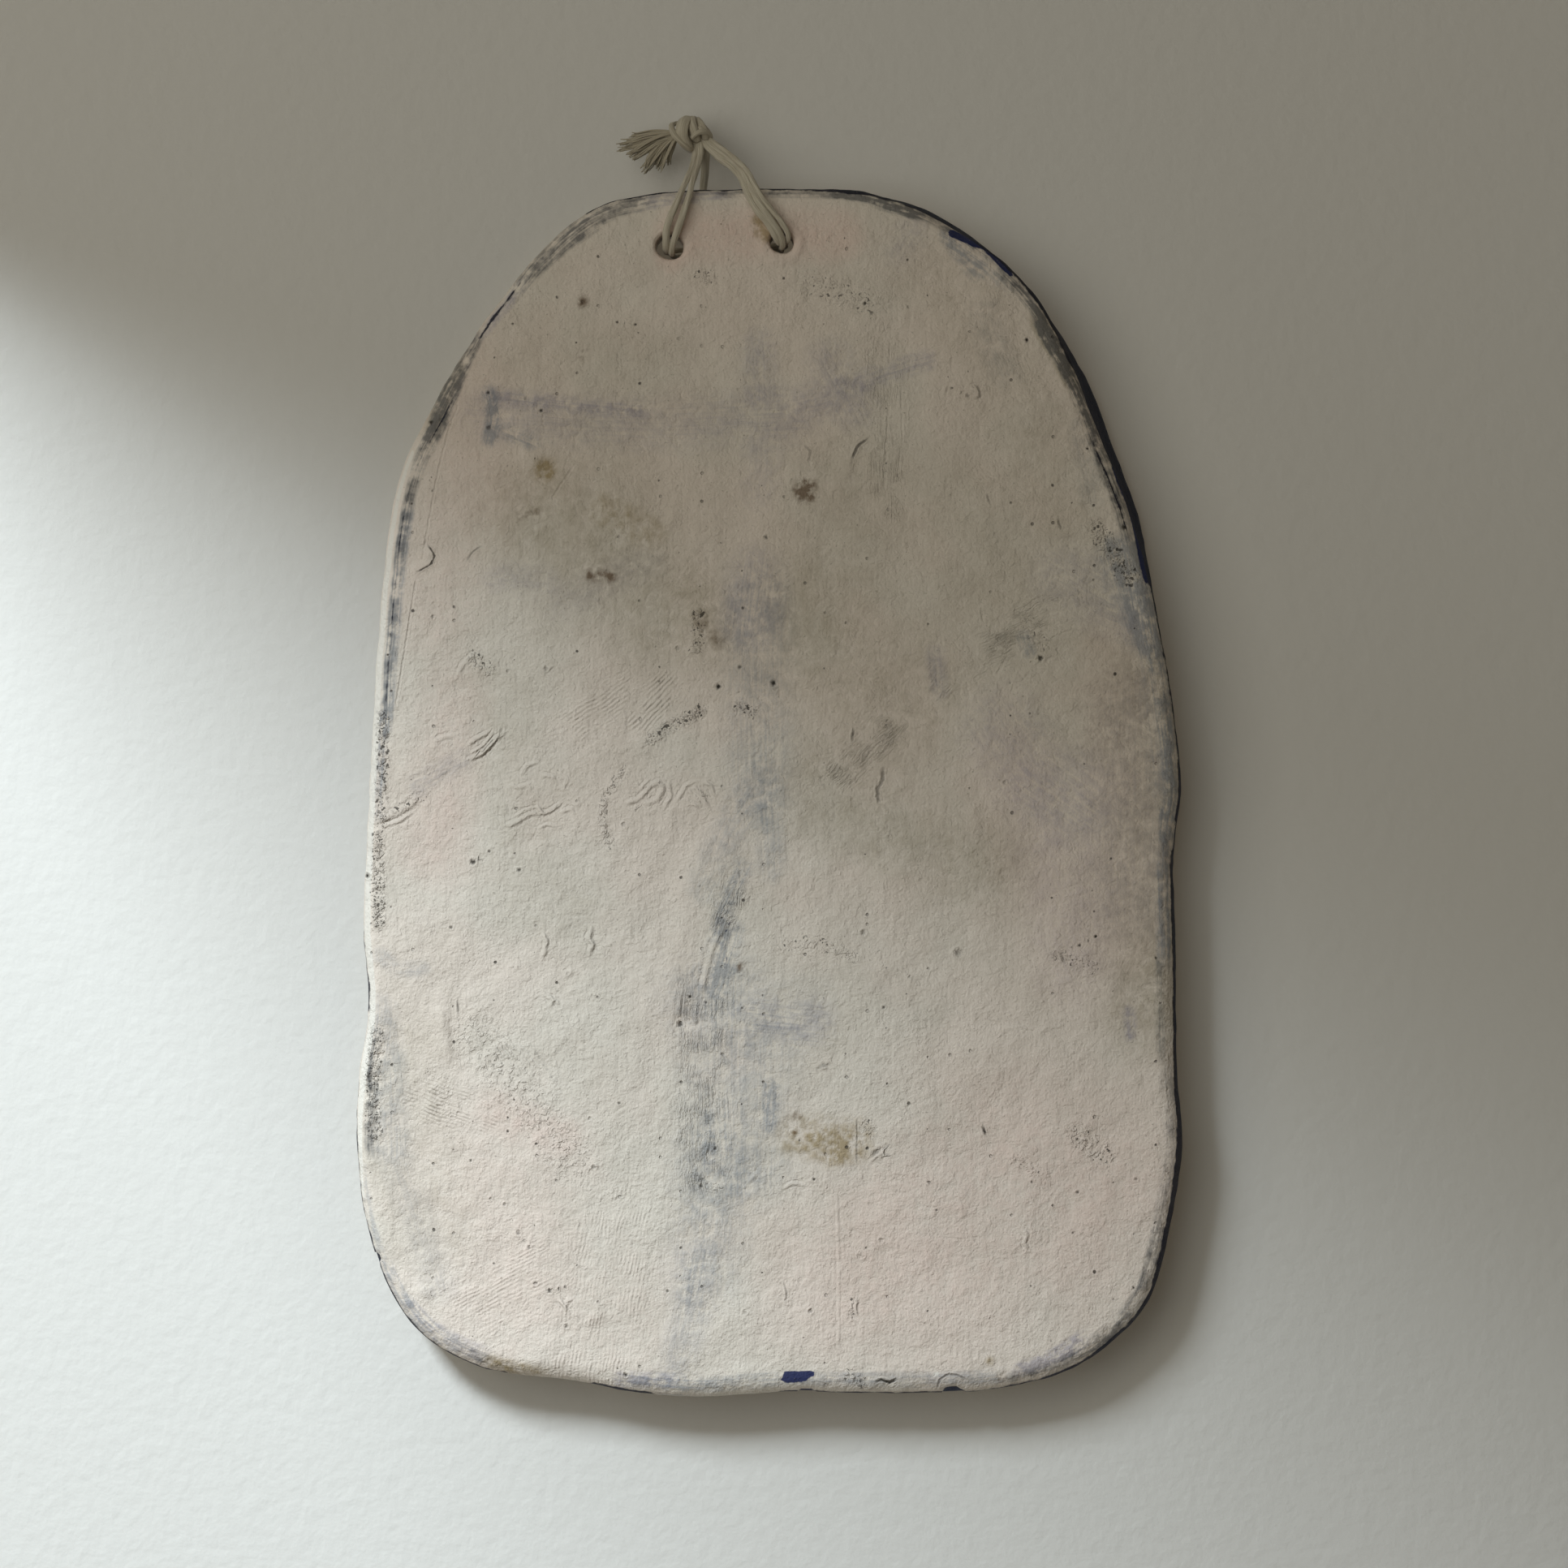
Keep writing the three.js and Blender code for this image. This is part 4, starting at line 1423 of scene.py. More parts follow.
    def worked(self, points: Array) -> Array:
        """Presses the relief into the front, unevens the wall, and knocks out the chips.

        The front's rise fades over the bevel. The wall moves in and out along the line
        to the slab's middle. A chip pushes what lies in its ball inwards and back by
        the depth of the ball there.

        Args:
            points: the plain slab's points.

        Returns:
            Their places on the worked slab.
        """
        x, y, z = points.T.copy()
        on_front = 1 - smooth_step(0.15, 1.5, y - self.front_y)
        rise = self.relief(x, z) + self.face_rise(x, z)
        self.grit, self.torn = self.grit * on_front, self.torn * on_front
        on_wall = smooth_step(0.0, 0.6, y - self.front_y) * (y < self.back_y - 0.05)
        for hole in self.holes:
            on_wall *= smooth_step(2.2, 3.4, hole.gap(x, z))
        outward = np.stack([x - self.middle[0], z - self.middle[1]])
        outward /= np.hypot(*outward) + 1e-9
        edge_radius = 40
        round_edge = edge_radius * np.arctan2(outward[1], outward[0])
        push = on_wall * sum(
            high * layered_noise(round_edge, y, *noise) for high, *noise in self.wall_noises
        )
        moved = np.stack(
            [x + push * outward[0], y - on_front * rise, z + push * outward[1]], axis=1
        )
        self.chipped = np.zeros_like(x)
        push_in, push_back = self.chip_push
        for chip in self.chips:
            centre = np.array([chip.x, self.front_y + 0.7 * self.bevel_drop, chip.z])
            gap = np.linalg.norm((moved - centre) / self.chip_stretch, axis=1)
            depth = np.sqrt(np.maximum(0, chip.radius ** 2 - gap ** 2))
            inward = -np.array([chip.x - self.middle[0], 0, chip.z - self.middle[1]])
            inward /= np.linalg.norm(inward)
            moved += depth[:, None] * (push_in * inward + [0, push_back, 0])
            self.chipped = np.maximum(self.chipped, np.clip(depth / chip.radius * 2.2, 0, 1))
        return moved

    def edge_place(self, points: Array) -> tuple[Array, Array]:
        """Each point's nearest place of the outline, and how far in from it it lies.

        Both are taken as seen from the camera, and the distance is from the slab's seen
        edge: the least distance near each place of the outline counts as none.

        Args:
            points: the slab's points.

        Returns:
            The number of the nearest place of the ring, and the distance from the seen
            edge in millimetres.
        """
        nearest = np.zeros(len(points), int)
        seen = VIEW.as_seen(points, self.front_y).astype(np.float32)
        ring = self.ring.astype(np.float32)
        for part in np.array_split(np.arange(len(points)), 40):
            nearest[part] = ((seen[part, None, :] - ring[None, :, :]) ** 2).sum(-1).argmin(1)
        away = seen - self.ring[nearest]
        outward = (away * self.outward[nearest]).sum(1)
        inset = np.hypot(*away.T) * -np.sign(outward)
        least = np.full(len(ring), np.inf)
        np.minimum.at(least, nearest, inset)
        least = np.min([np.roll(least, shift) for shift in range(-3, 4)], axis=0)
        return nearest, inset - least[nearest]

    def paint(self, slab: bpy.types.Object, points: Array) -> None:
        """Brushes every stroke and rim band on the slab as vertex masks.

        A wash keeps its cover from 0 to 1. An opaque paint keeps how far inside its
        edge a point is in millimetres, which stays sharp between the vertices. Each
        point also keeps its place across and along the strongest brush stroke there,
        for the bristles' streaks, and how sure that stroke is over the next.

        Args:
            slab: the slab's object.
            points: its points in millimetres.
        """
        x, y, z = points.T
        front = 1 - smooth_step(*self.front_fade, y - self.front_y)
        masks = {paint: np.full(len(x), OUTSIDE if paint in OPAQUE else 0.0) for paint in Paint}
        nearest, inset = self.edge_place(points)
        station = walk(self.ring)
        flow = np.stack([x, z, np.zeros_like(x)], axis=1)
        claims = Contest(np.full(len(x), self.least_flow), np.zeros(len(x)))
        for stroke in self.strokes:
            path = VIEW.place(stroke.path, self.front_y)
            near = self.near(x, z, path, 0.5 * stroke.width + 1.0)
            gap, side, along = to_broken_line(x[near], z[near], path, open_ended=True)
            mask = masks[stroke.paint]
            if stroke.paint in OPAQUE:
                mask[near] = np.maximum(mask[near], stroke.width / 2 - gap)
                continue
            bell = np.clip(1 - (2 * gap / stroke.width) ** 2, 0, 1) ** 1.3
            cover = stroke.strength * bell * front[near]
            mask[near] = 1 - (1 - mask[near]) * (1 - cover)
            if stroke.paint in (WASH, LILAC) and len(path) > 1:
                wins = claims.enter(near, cover)
                flow[near[wins], :2] = np.stack([side, along], axis=1)[wins]
        at_rim = self.rim_flow_strength * smooth_step(*self.rim_flow, inset)
        wins = claims.enter(np.arange(len(x)), at_rim)
        flow[wins, :2] = np.stack([inset, station[nearest]], axis=1)[wins]
        for band in self.rim_bands:
            inside, to_end = self.in_band(band, station, nearest, inset)
            mask = masks[band.paint]
            if band.paint in OPAQUE:
                inside = np.minimum(inside, 0.35 * to_end + 0.15)
                masks[band.paint] = np.where(inset < 6, np.maximum(mask, inside), mask)
            else:
                cover = smooth_step(*self.band_sides, inside)
                cover = cover * smooth_step(*self.band_ends, to_end)
                masks[band.paint] = np.minimum(1, mask + band.strength * cover * front)
        for opaque in OPAQUE:
            near_front = y - self.front_y < self.front_fade[1]
            masks[opaque] = np.where(near_front, masks[opaque], OUTSIDE)
        wall = smooth_step(*self.wall_start, y - self.front_y) * (y < self.back_y - 0.02)
        for hole in self.holes:
            gap = hole.gap(x, z)
            wall *= smooth_step(2.0, 2.6, gap)
            # Painted shade: the bore of each hole is darkened with the grit colour
            inside = (gap < hole.radius + hole.front_flare) * 1.0
            inside = inside * smooth_step(0.0, 0.8, y - self.front_y)
            self.grit = np.maximum(self.grit, self.painted_shade_in_holes * inside)
        masks[GRIT_AND_HOLE_SHADE] = np.maximum(self.grit, self.chipped)
        sure = np.clip((claims.best - claims.second) / 0.08, 0, 1)
        stored = {paint.value: mask for paint, mask in masks.items()} | {
            "torn": self.torn, "wall": wall, "back": (y > self.back_y - 0.25).astype(float),
            "flow": flow, "flow_sure": sure,
        }
        for name, mask in stored.items():
            add_mask(slab, name, mask)
        self.comb(slab, x, z, front)
        self.prick(slab, x, z, front)

    def in_band(
        self, band: RimBand, station: Array, nearest: Array, inset: Array
    ) -> tuple[Array, Array]:
        """How far inside a rim band each point lies.

        Args:
            band: the band.
            station: the length round the ring at each of its places.
            nearest: the number of each point's nearest place of the ring.
            inset: each point's distance from the seen edge.

        Returns:
            The distances in from the band's nearer side, and from its nearer end.
        """
        ends = VIEW.place((band.start, band.end), self.front_y)
        first, last = (int(np.argmin(np.hypot(*(self.ring - end).T))) for end in ends)
        length = (station[last] - station[first]) % station[-1]
        walked = (station[nearest] - station[first]) % station[-1]
        beyond, short = walked - length, station[-1] - walked
        to_end = np.where(beyond < 0, np.minimum(walked, -beyond), -np.minimum(beyond, short))
        share = np.where(beyond < 0, walked / length, beyond < short)
        outer, inner = (a + (b - a) * share for a, b in (band.outer, band.inner))
        return np.minimum(inset - outer, inner - inset), to_end

    def comb(self, slab: bpy.types.Object, x: Array, z: Array, front: Array) -> None:
        """Stores the fine ridges that fingers and bristles left.

        They are finer than the mesh, so each vertex keeps how far across the ridges it
        lies and how deep they are there, and the slip's bump draws them from that.

        Args:
            slab: the slab's object.
            x: first coordinate of its points.
            z: second coordinate of its points.
            front: 1 on the front, and 0 on the wall and the back.
        """
        for finger, name in ((True, "finger"), (False, "bristle")):
            across = x.copy()
            claims = Contest(np.zeros_like(x), np.zeros_like(x))
            for combing in self.combings:
                if bool(combing.ridge) is not finger:
                    continue
                path = VIEW.place(combing.path, self.front_y)
                half = combing.width / 2
                near = self.near(x, z, path, half)
                gap, _, _ = to_broken_line(x[near], z[near], path)
                _, side, _ = to_broken_line(x[near], z[near], path, open_ended=True)
                wins = claims.enter(near, combing.depth * (1 - smooth_step(half * 0.3, half, gap)))
                scale = 1 / combing.ridge if finger else 1.0
                across[near[wins]] = (side * scale)[wins]
            add_mask(slab, name + "_across", across)
            add_mask(slab, name + "_depth", (claims.best - claims.second) * front)

    def fine_marks(self) -> list[list[tuple[Mark, Array]]]:
        """Sorts the scratches, creases and pits into layers of marks that lie apart.

        Each goes in the first layer whose marks are all clear of it, or else in the one
        where it is clearest.

        Returns:
            Each layer's marks, with their paths in x and z.
        """
        fine = [mark for mark in self.marks if mark.relief in (SCRATCH, CREASE)]
        fine += [
            Mark(DENT, ((pit.column, pit.row),), pit.width, 0.2 * pit.width, pit.dark)
            for pit in self.pits
        ]
        layers = [[] for _ in range(FINE_LAYERS)]
        for mark in fine:
            path = VIEW.place(mark.path, self.front_y)
            gaps = [
                min([FAR] + [self.least_gap(path, other) for _, other in layer])
                for layer in layers
            ]
            clear = [gap > 2.0 for gap in gaps]
            chosen = clear.index(True) if any(clear) else int(np.argmax(gaps))
            layers[chosen].append((mark, path))
        return layers

    def prick(self, slab: bpy.types.Object, x: Array, z: Array, front: Array) -> None:
        """Stores the scratches, creases and pits that are finer than the mesh.

        Each vertex near one keeps its place from the mark's line or middle in half
        widths, and how deep and how dark it is. The place is exact between the vertices
        too, so the bump draws a sharp mark from it. Marks that lie close together go in
        different layers, or a false mark would show halfway between them.

        Args:
            slab: the slab's object.
            x: first coordinate of its points.
            z: second coordinate of its points.
            front: 1 on the front, and 0 on the wall and the back.
        """
        strength = {SCRATCH: 0.15, CREASE: -0.19, DENT: 0.5}
        for number, layer in enumerate(self.fine_marks()):
            place = np.full((len(x), 3), FAR)
            depth, dark, nearest = np.zeros_like(x), np.zeros_like(x), np.full(len(x), np.inf)
            for mark, path in layer:
                half = mark.width / 2
                near = self.near(x, z, path, 1.3 + half)
                px, pz = x[near], z[near]
                gap, side, along = to_broken_line(px, pz, path)
                if mark.relief is DENT:
                    offset = np.stack([px - path[0, 0], 0 * px, pz - path[0, 1]], axis=1)
                    taper = 1.0
                else:
                    offset = np.stack([side, 0 * side, 0 * side], axis=1)
                    length = walk(path)[-1]
                    taper = smooth_step(-0.1, 0.5, np.minimum(along, length - along))
                    taper = taper * (gap < np.abs(side) + 0.3)
                wins = gap < nearest[near]
                chosen = near[wins]
                nearest[chosen] = gap[wins]
                place[chosen] = offset[wins] / half
                hold = self.fine_hold + half
                kept = (1 - smooth_step(hold, hold + 0.25, gap)) * taper
                depth[chosen] = (2 * mark.depth * strength[mark.relief] * kept)[wins]
                dark[chosen] = ((mark.relief is not CREASE) * mark.grit * kept)[wins]
            add_mask(slab, f"fine_place_{number}", place)
            add_mask(slab, f"fine_depth_{number}", depth * front)
            add_mask(slab, f"fine_dark_{number}", dark * front)

    def least_gap(self, one: Array, other: Array) -> float:
        """The least distance between the corners and middles of two paths.

        Args:
            one: the one path.
            other: the other.

        Returns:
            The distance.
        """
        dense = [
            np.concatenate([path, (path[1:] + path[:-1]) / 2]) if len(path) > 1 else path
            for path in (one, other)
        ]
        return float(np.linalg.norm(dense[0][:, None] - dense[1][None], axis=2).min())


@dataclass(frozen=True)
class Coat:
    """One colour that lies over the slip where a vertex mask says.

    Streak is how much the bristles' streaks break it, and blot how much blotches do. An
    opaque coat's mask is in millimetres and the breaks move its edge by as much.
    """

    paint: Paint
    colour: str
    cover: float
    streak: float
    blot: float


@dataclass(frozen=True)
class Grain:
    """A noise of the slip: the width of its blobs in millimetres and how it is layered.

    Stretch squeezes the place that it reads, and flowing says that it reads the brush
    strokes' own place instead of the slab's.
    """

    size: float
    detail: float
    roughness: float = 0.5
    stretch: Point = (1.0, 1.0, 1.0)
    flowing: bool = False


@dataclass(frozen=True)
class PaintedSlip:
    """Matt, once-fired white slip brushed over cobalt on stoneware.

    The eye gets a chalky, warm off-white with streaky thin blue washes, dark grit in
    every pinhole, and a skin of fine brush lines, finger ridges and orange peel.
    """

    slip: str = "#f2e6da"
    slip_cool: str = "#eee6da"
    clay_back: str = "#b9ab97"
    wall: str = "#1b2036"
    grit: str = "#2f2a22"
    speck: str = "#8f8676"
    mottle: str = "#b5aa98"
    roughness: float = 0.78
    ior: float = 1.45
    bristle_mm: float = 0.3
    pit_spacing_mm: float = 2.3
    ragged_mm: float = 0.45
    ragged_share: float = 4.5
    coats: tuple[Coat, ...] = (
        Coat(BLUSH, "#f2d6ca", 0.6, 0.1, 0.3),
        # Smoky grey-brown, also the painted shade along the right edge
        Coat(SMOKE, "#b0a58f", 0.6, 0.1, 0.5),
        Coat(LILAC, "#9f9aab", 0.6, 0.7, 0.8),
        Coat(WASH, "#868f9b", 0.6, 1.0, 0.8),
        # Grey wash that is also the bevel's painted shade
        Coat(SHADE, "#5b5d60", 0.8, 1.0, 0.8),
        Coat(OCHRE, "#a58f62", 0.75, 0.2, 1.0),
        Coat(RUST, "#6d5439", 0.8, 0.2, 1.2),
        # Chalky white, also the painted highlight on the left rim
        Coat(CHALK_AND_HIGHLIGHT, "#f3eee5", 0.85, 0.3, 0.3),
        Coat(COBALT, "#18265a", 0.97, 1.0, 0.5),
        # Navy underglaze, also the painted shadow line along the foot
        Coat(NAVY_AND_EDGE_SHADOW, "#10132a", 0.95, 0.7, 0.6),
    )

    def material(self) -> bpy.types.Material:
        """Builds the node tree.

        Returns:
            The material.
        """
        made = empty_material("brushed matt slip over cobalt on stoneware")
        put = partial(add_node, made)
        times, times_add = {"operation": "MULTIPLY"}, {"operation": "MULTIPLY_ADD"}
        less, soft = {"operation": "SUBTRACT"}, {"interpolation_type": "SMOOTHSTEP"}
        place = put("TexCoord", out="Object")
        flow = put("Attribute", out="Vector", attribute_name="flow")
        fields = [paint.value for paint in Paint] + [
            "torn", "wall", "back", "flow_sure", "finger_across", "finger_depth",
            "bristle_across", "bristle_depth",
        ]
        field = {name: put("Attribute", out="Fac", attribute_name=name) for name in fields}
        grains = {
            "grain": Grain(0.28, 2), "peel": Grain(0.95, 3, 0.55), "blots": Grain(2.6, 4, 0.6),
            "clouds": Grain(16, 3), "brushed": Grain(0.5, 3, 0.6, (1, 1, 0.07)),
            "flakes": Grain(0.6, 3, 0.6), "islands": Grain(1.5, 3, 0.6), "wander": Grain(3.0, 1),
            "smears": Grain(7.0, 5, 0.65),
            "streaks": Grain(1, 3, 0.6, (1 / self.bristle_mm, 0.1, 1), True),
        }
        noise = {
            name: put(
                "TexNoise",
                put(
                    "Mapping", flow if g.flowing else place, out="Vector",
                    inputs={"Scale": g.stretch},
                ),
                inputs={
                    "Scale": 1.0 if g.flowing else 1 / (g.size * MM), "Detail": g.detail,
                    "Roughness": g.roughness,
                },
                out="Fac",
            )
            for name, g in grains.items()
        }
        away = {name: put("Math", socket, 0.5, **less) for name, socket in noise.items()}
        streaks = put("Math", away["streaks"], field["flow_sure"], **times)
        blots = put("Math", away["blots"], away["peel"], operation="ADD")

        layers = [
            (put("MapRange", noise["clouds"], 0.38, 0.64, **soft), self.slip_cool),
            (put("MapRange", noise["smears"], 0.35, 0.7, 0.0, 0.16, **soft), self.mottle),
        ]
        for coat in self.coats:
            mask = field[coat.paint.value]
            opaque = coat.paint in OPAQUE
            reach, start = (self.ragged_mm, mask) if opaque else (self.ragged_share, 1.0)
            ragged = put("Math", streaks, reach * coat.streak, start, **times_add)
            ragged = put("Math", blots, reach * coat.blot, ragged, **times_add)
            if opaque:
                share = put("MapRange", ragged, -0.05, 0.07, 0.0, coat.cover, **soft)
            else:
                ragged = put("Math", ragged, mask, **times)
                share = put("MapRange", ragged, 0.03, 1.03, 0.0, coat.cover)
            layers.append((share, coat.colour))
        share = put("Math", away["blots"], 0.6, field["wall"], **times_add)
        layers.append((put("MapRange", share, 0.4, 0.65, **soft), self.wall))
        layers.append((field["back"], self.clay_back))

        front = put("Math", 1.0, field["back"], **less)
        flat = put("Mapping", place, out="Vector", inputs={"Rotation": (math.pi / 2, 0, 0)})
        cells = {"Scale": 1 / (self.pit_spacing_mm * MM)}
        gap = put("TexVoronoi", flat, out="Distance", inputs=cells, voronoi_dimensions="2D")
        pick = put("TexVoronoi", flat, out="Color", inputs=cells, voronoi_dimensions="2D")
        lots = put("SeparateColor", pick, out=0), put("SeparateColor", pick, out=1)
        reach = put("MapRange", lots[0], 0.84, 1.0, 0.0, 0.085)
        gap = put("Math", away["grain"], 0.08, gap, **times_add)
        inside = put("Math", reach, gap, **less)
        hole = put("MapRange", inside, -0.012, 0.03, **soft)
        hole = put("Math", hole, front, **times)
        hole_dark = put("MapRange", lots[1], 0.3, 1.0, 0.15, 0.9)

        fine_height, dark = 0.0, 0.0
        for number in range(FINE_LAYERS):
            at = put("Attribute", out="Vector", attribute_name=f"fine_place_{number}")
            depth, dirt = (
                put("Attribute", out="Fac", attribute_name=f"fine_{name}_{number}")
                for name in ("depth", "dark")
            )
            gap = put("VectorMath", at, out="Value", operation="LENGTH")
            gap = put("Math", away["grain"], 1.2, gap, **times_add)
            groove = put("MapRange", gap, 0.2, 1.15, 1.0, 0.0, **soft)
            burr = put("Math", put("Math", gap, 1.5, **less), operation="ABSOLUTE")
            burr = put("MapRange", burr, 0.0, 0.6, 0.3, 0.0, **soft)
            carved = put("Math", burr, groove, **less)
            fine_height = put("Math", carved, depth, fine_height, **times_add)
            dark = put("Math", groove, dirt, dark, **times_add)

        flake = put("MapRange", noise["flakes"], 0.5, 0.66, **soft)
        flake = put("Math", flake, field["torn"], **times)
        # The grit mask also holds the painted shade in the cord holes' bores
        grit = field[GRIT_AND_HOLE_SHADE.value]
        under = put("Math", grit, -0.15, noise["flakes"], **times_add)
        under = put("MapRange", under, 0.3, 0.38, 0.85, 0.0, **soft)
        under = put("Math", under, put("MapRange", grit, 0.0, 0.1), **times)
        solid = put("MapRange", grit, 0.72, 0.95, **soft)
        dirt = put("Math", under, solid, operation="MAXIMUM")
        dirt = put("Math", dirt, put("Math", hole, hole_dark, **times), operation="MAXIMUM")
        dirt = put("Math", dirt, dark, operation="MAXIMUM")
        fleck = put("MapRange", noise["grain"], 0.68, 0.76, 0.0, 0.5, **soft)
        colour = srgb(self.slip)
        for share, over in (*layers, (dirt, self.grit), (fleck, self.speck)):
            colour = put("Mix", share, out=2, inputs={6: colour, 7: srgb(over)}, data_type="RGBA")

        turns = put("Math", field["finger_across"], 2 * math.pi, **times)
        turns = put("Math", away["wander"], 11.0, turns, **times_add)
        worn = put("MapRange", noise["blots"], 0.4, 0.62)
        finger = put("Math", put("Math", turns, operation="SINE"), worn, **times)
        swayed = put("Math", away["wander"], 1.2, field["bristle_across"], **times_add)
        line = put("CombineXYZ", swayed, put("Math", away["smears"], 4.0, **times))
        lines = put(
            "TexNoise", line, out="Fac",
            inputs={"Scale": 1 / self.bristle_mm, "Detail": 3.0, "Roughness": 0.65},
        )
        lines = put("Math", lines, 0.5, **less)
        bristle_reach = put("Math", field["bristle_depth"], 8.0, **times)
        islands = put("MapRange", noise["islands"], 0.53, 0.6, **soft)
        pressed = (
            (noise["grain"], 0.085), (noise["peel"], 0.2), (noise["brushed"], 0.06),
            (noise["blots"], 0.25), (islands, 0.03), (hole, -0.16), (flake, 0.8),
            (fine_height, 1.0), (put("Math", lines, worn, **times), bristle_reach),
            (finger, put("Math", field["finger_depth"], 2.0, **times)),
        )
        height = 0.0
        for part, reach in pressed:
            height = put("Math", part, reach, height, **times_add)
        bump = put("Bump", out="Normal", inputs={"Height": height, "Distance": MM, "Strength": 1.0})
        shine = put("MapRange", noise["blots"], 0, 1, self.roughness - 0.08, self.roughness + 0.1)
        shader = put(
            "BsdfPrincipled",
            inputs={"Base Color": colour, "Roughness": shine, "IOR": self.ior, "Normal": bump},
        )
        return finish_material(made, shader)


@dataclass(frozen=True)
class CottonYarn:
    """Soft, barely twisted natural cotton.

    The eye gets creamy strands of long fibres side by side, darker between them, with
    a soft sheen at their edges.
    """

    light: str = "#d8d1c0"
    dark: str = "#a89d86"
    roughness: float = 0.9
    sheen: float = 0.25
    fibre_mm: float = 0.09

    def material(self, painted_shade: float = 0.0) -> bpy.types.Material:
        """Builds the node tree.

        Args:
            painted_shade: how much of the darker colour is mixed in all over as painted shade, from
                0 to 1.

        Returns:
            The material.
        """
        made = empty_material(f"unbleached cotton yarn {int(painted_shade * 100):02d}")
        put = partial(add_node, made)
        flow = put("UVMap", out="UV", uv_map="strand")
        flow = put("Mapping", flow, out="Vector", inputs={"Scale": (1 / self.fibre_mm, 0.35, 1)})
        fibres = put("TexNoise", flow, out="Fac", inputs={"Scale": 1.0, "Detail": 3.0})
        share = put("MapRange", fibres, 0.35, 0.75, painted_shade, 1.0)
        colour = put(
            "Mix", share, out=2, inputs={6: srgb(self.light), 7: srgb(self.dark)}, data_type="RGBA"
        )
        bump = put(
            "Bump", out="Normal", inputs={"Height": fibres, "Distance": 0.05 * MM, "Strength": 1.0}
        )
        shader = put(
            "BsdfPrincipled",
            inputs={
                "Base Color": colour, "Roughness": self.roughness, "Sheen Weight": self.sheen,
                "Normal": bump,
            },
        )
        return finish_material(made, shader)


@dataclass(frozen=True)
class MattBackdrop:
    """Pale matt emulsion with a roller's faint peel, seen only from its front."""

    colour: str = "#e9e7e2"
    roller_mm: float = 1.4
    one_sided: bool = True
    gap_mm: float = 8.0
    gap_light: float = 0.3

    def material(self) -> bpy.types.Material:
        """Builds the node tree. One-sided paint is clear from behind, to show the back.

        Light that the slab's back takes from the wall right behind it is drawn as a
        pale glow, since that gap would be black to a viewer who looks through the wall.

        Returns:
            The material.
        """
        made = empty_material("pale matt emulsion")
        put = partial(add_node, made)
        place = put("TexCoord", out="Object")
        peel = put(
            "TexNoise", place, out="Fac",
            inputs={"Scale": 1 / (self.roller_mm * MM), "Detail": 3.0},
        )
        bump = put(
            "Bump", out="Normal", inputs={"Height": peel, "Distance": 0.12 * MM, "Strength": 1.0}
        )
        paint = put("BsdfDiffuse", out=0, inputs={"Color": srgb(self.colour), "Normal": bump})
        if not self.one_sided:
            return finish_material(made, paint)
        near = put(
            "Math", put("LightPath", out="Ray Length"), self.gap_mm * MM, operation="LESS_THAN"
        )
        near = put("Math", near, put("LightPath", out="Is Diffuse Ray"), operation="MULTIPLY")
        glow = put("Emission", inputs={"Color": srgb(self.colour), "Strength": self.gap_light})
        paint = put("MixShader", near, inputs={1: paint, 2: glow})
        made.cycles.emission_sampling = "NONE"
        behind = put("NewGeometry", out="Backfacing")
        both = {1: paint, 2: put("BsdfTransparent")}
        return finish_material(made, put("MixShader", behind, inputs=both))


def smooth_path(points: Sequence[Point], count: int) -> Array:
    """A Catmull-Rom curve through points, at evenly spaced lengths.

    Args:
        points: the places that it goes through.
        count: how many places to give back.

    Returns:
        One row of x, y and z for each place.
    """
    given = np.array(points, float)
    given = np.concatenate([2 * given[:1] - given[1:2], given, 2 * given[-1:] - given[-2:-1]])
    spans, steps = len(points) - 1, 24
    station = np.linspace(0, spans, spans * steps + 1)
    index = np.minimum(np.floor(station).astype(int), spans - 1)
    fine, _ = catmull_rom([given[index + k] for k in range(4)], (station - index)[:, None])
    walked = walk(fine)
    wanted = np.linspace(0, walked[-1], count)
    return np.stack([np.interp(wanted, walked, fine[:, k]) for k in range(3)], axis=1)


def carried_frames(path: Array, first_side: Point) -> tuple[Array, Array]:
    """Side and upward directions along a path that turn with it and never spin.

    Each station's side is the last one's, with what now points along the path taken out.

    Args:
        path: the path's places.
        first_side: roughly the side direction wanted at the start.

    Returns:
        A unit side and a unit upward direction for each place.
    """
    heading = np.gradient(path, axis=0)
    heading /= np.linalg.norm(heading, axis=1, keepdims=True)
    sides = np.empty_like(path)
    side = np.array(first_side, float)
    for station, along in enumerate(heading):
        side = side - along * side.dot(along)
        side /= np.linalg.norm(side)
        sides[station] = side
    return sides, np.cross(heading, sides)


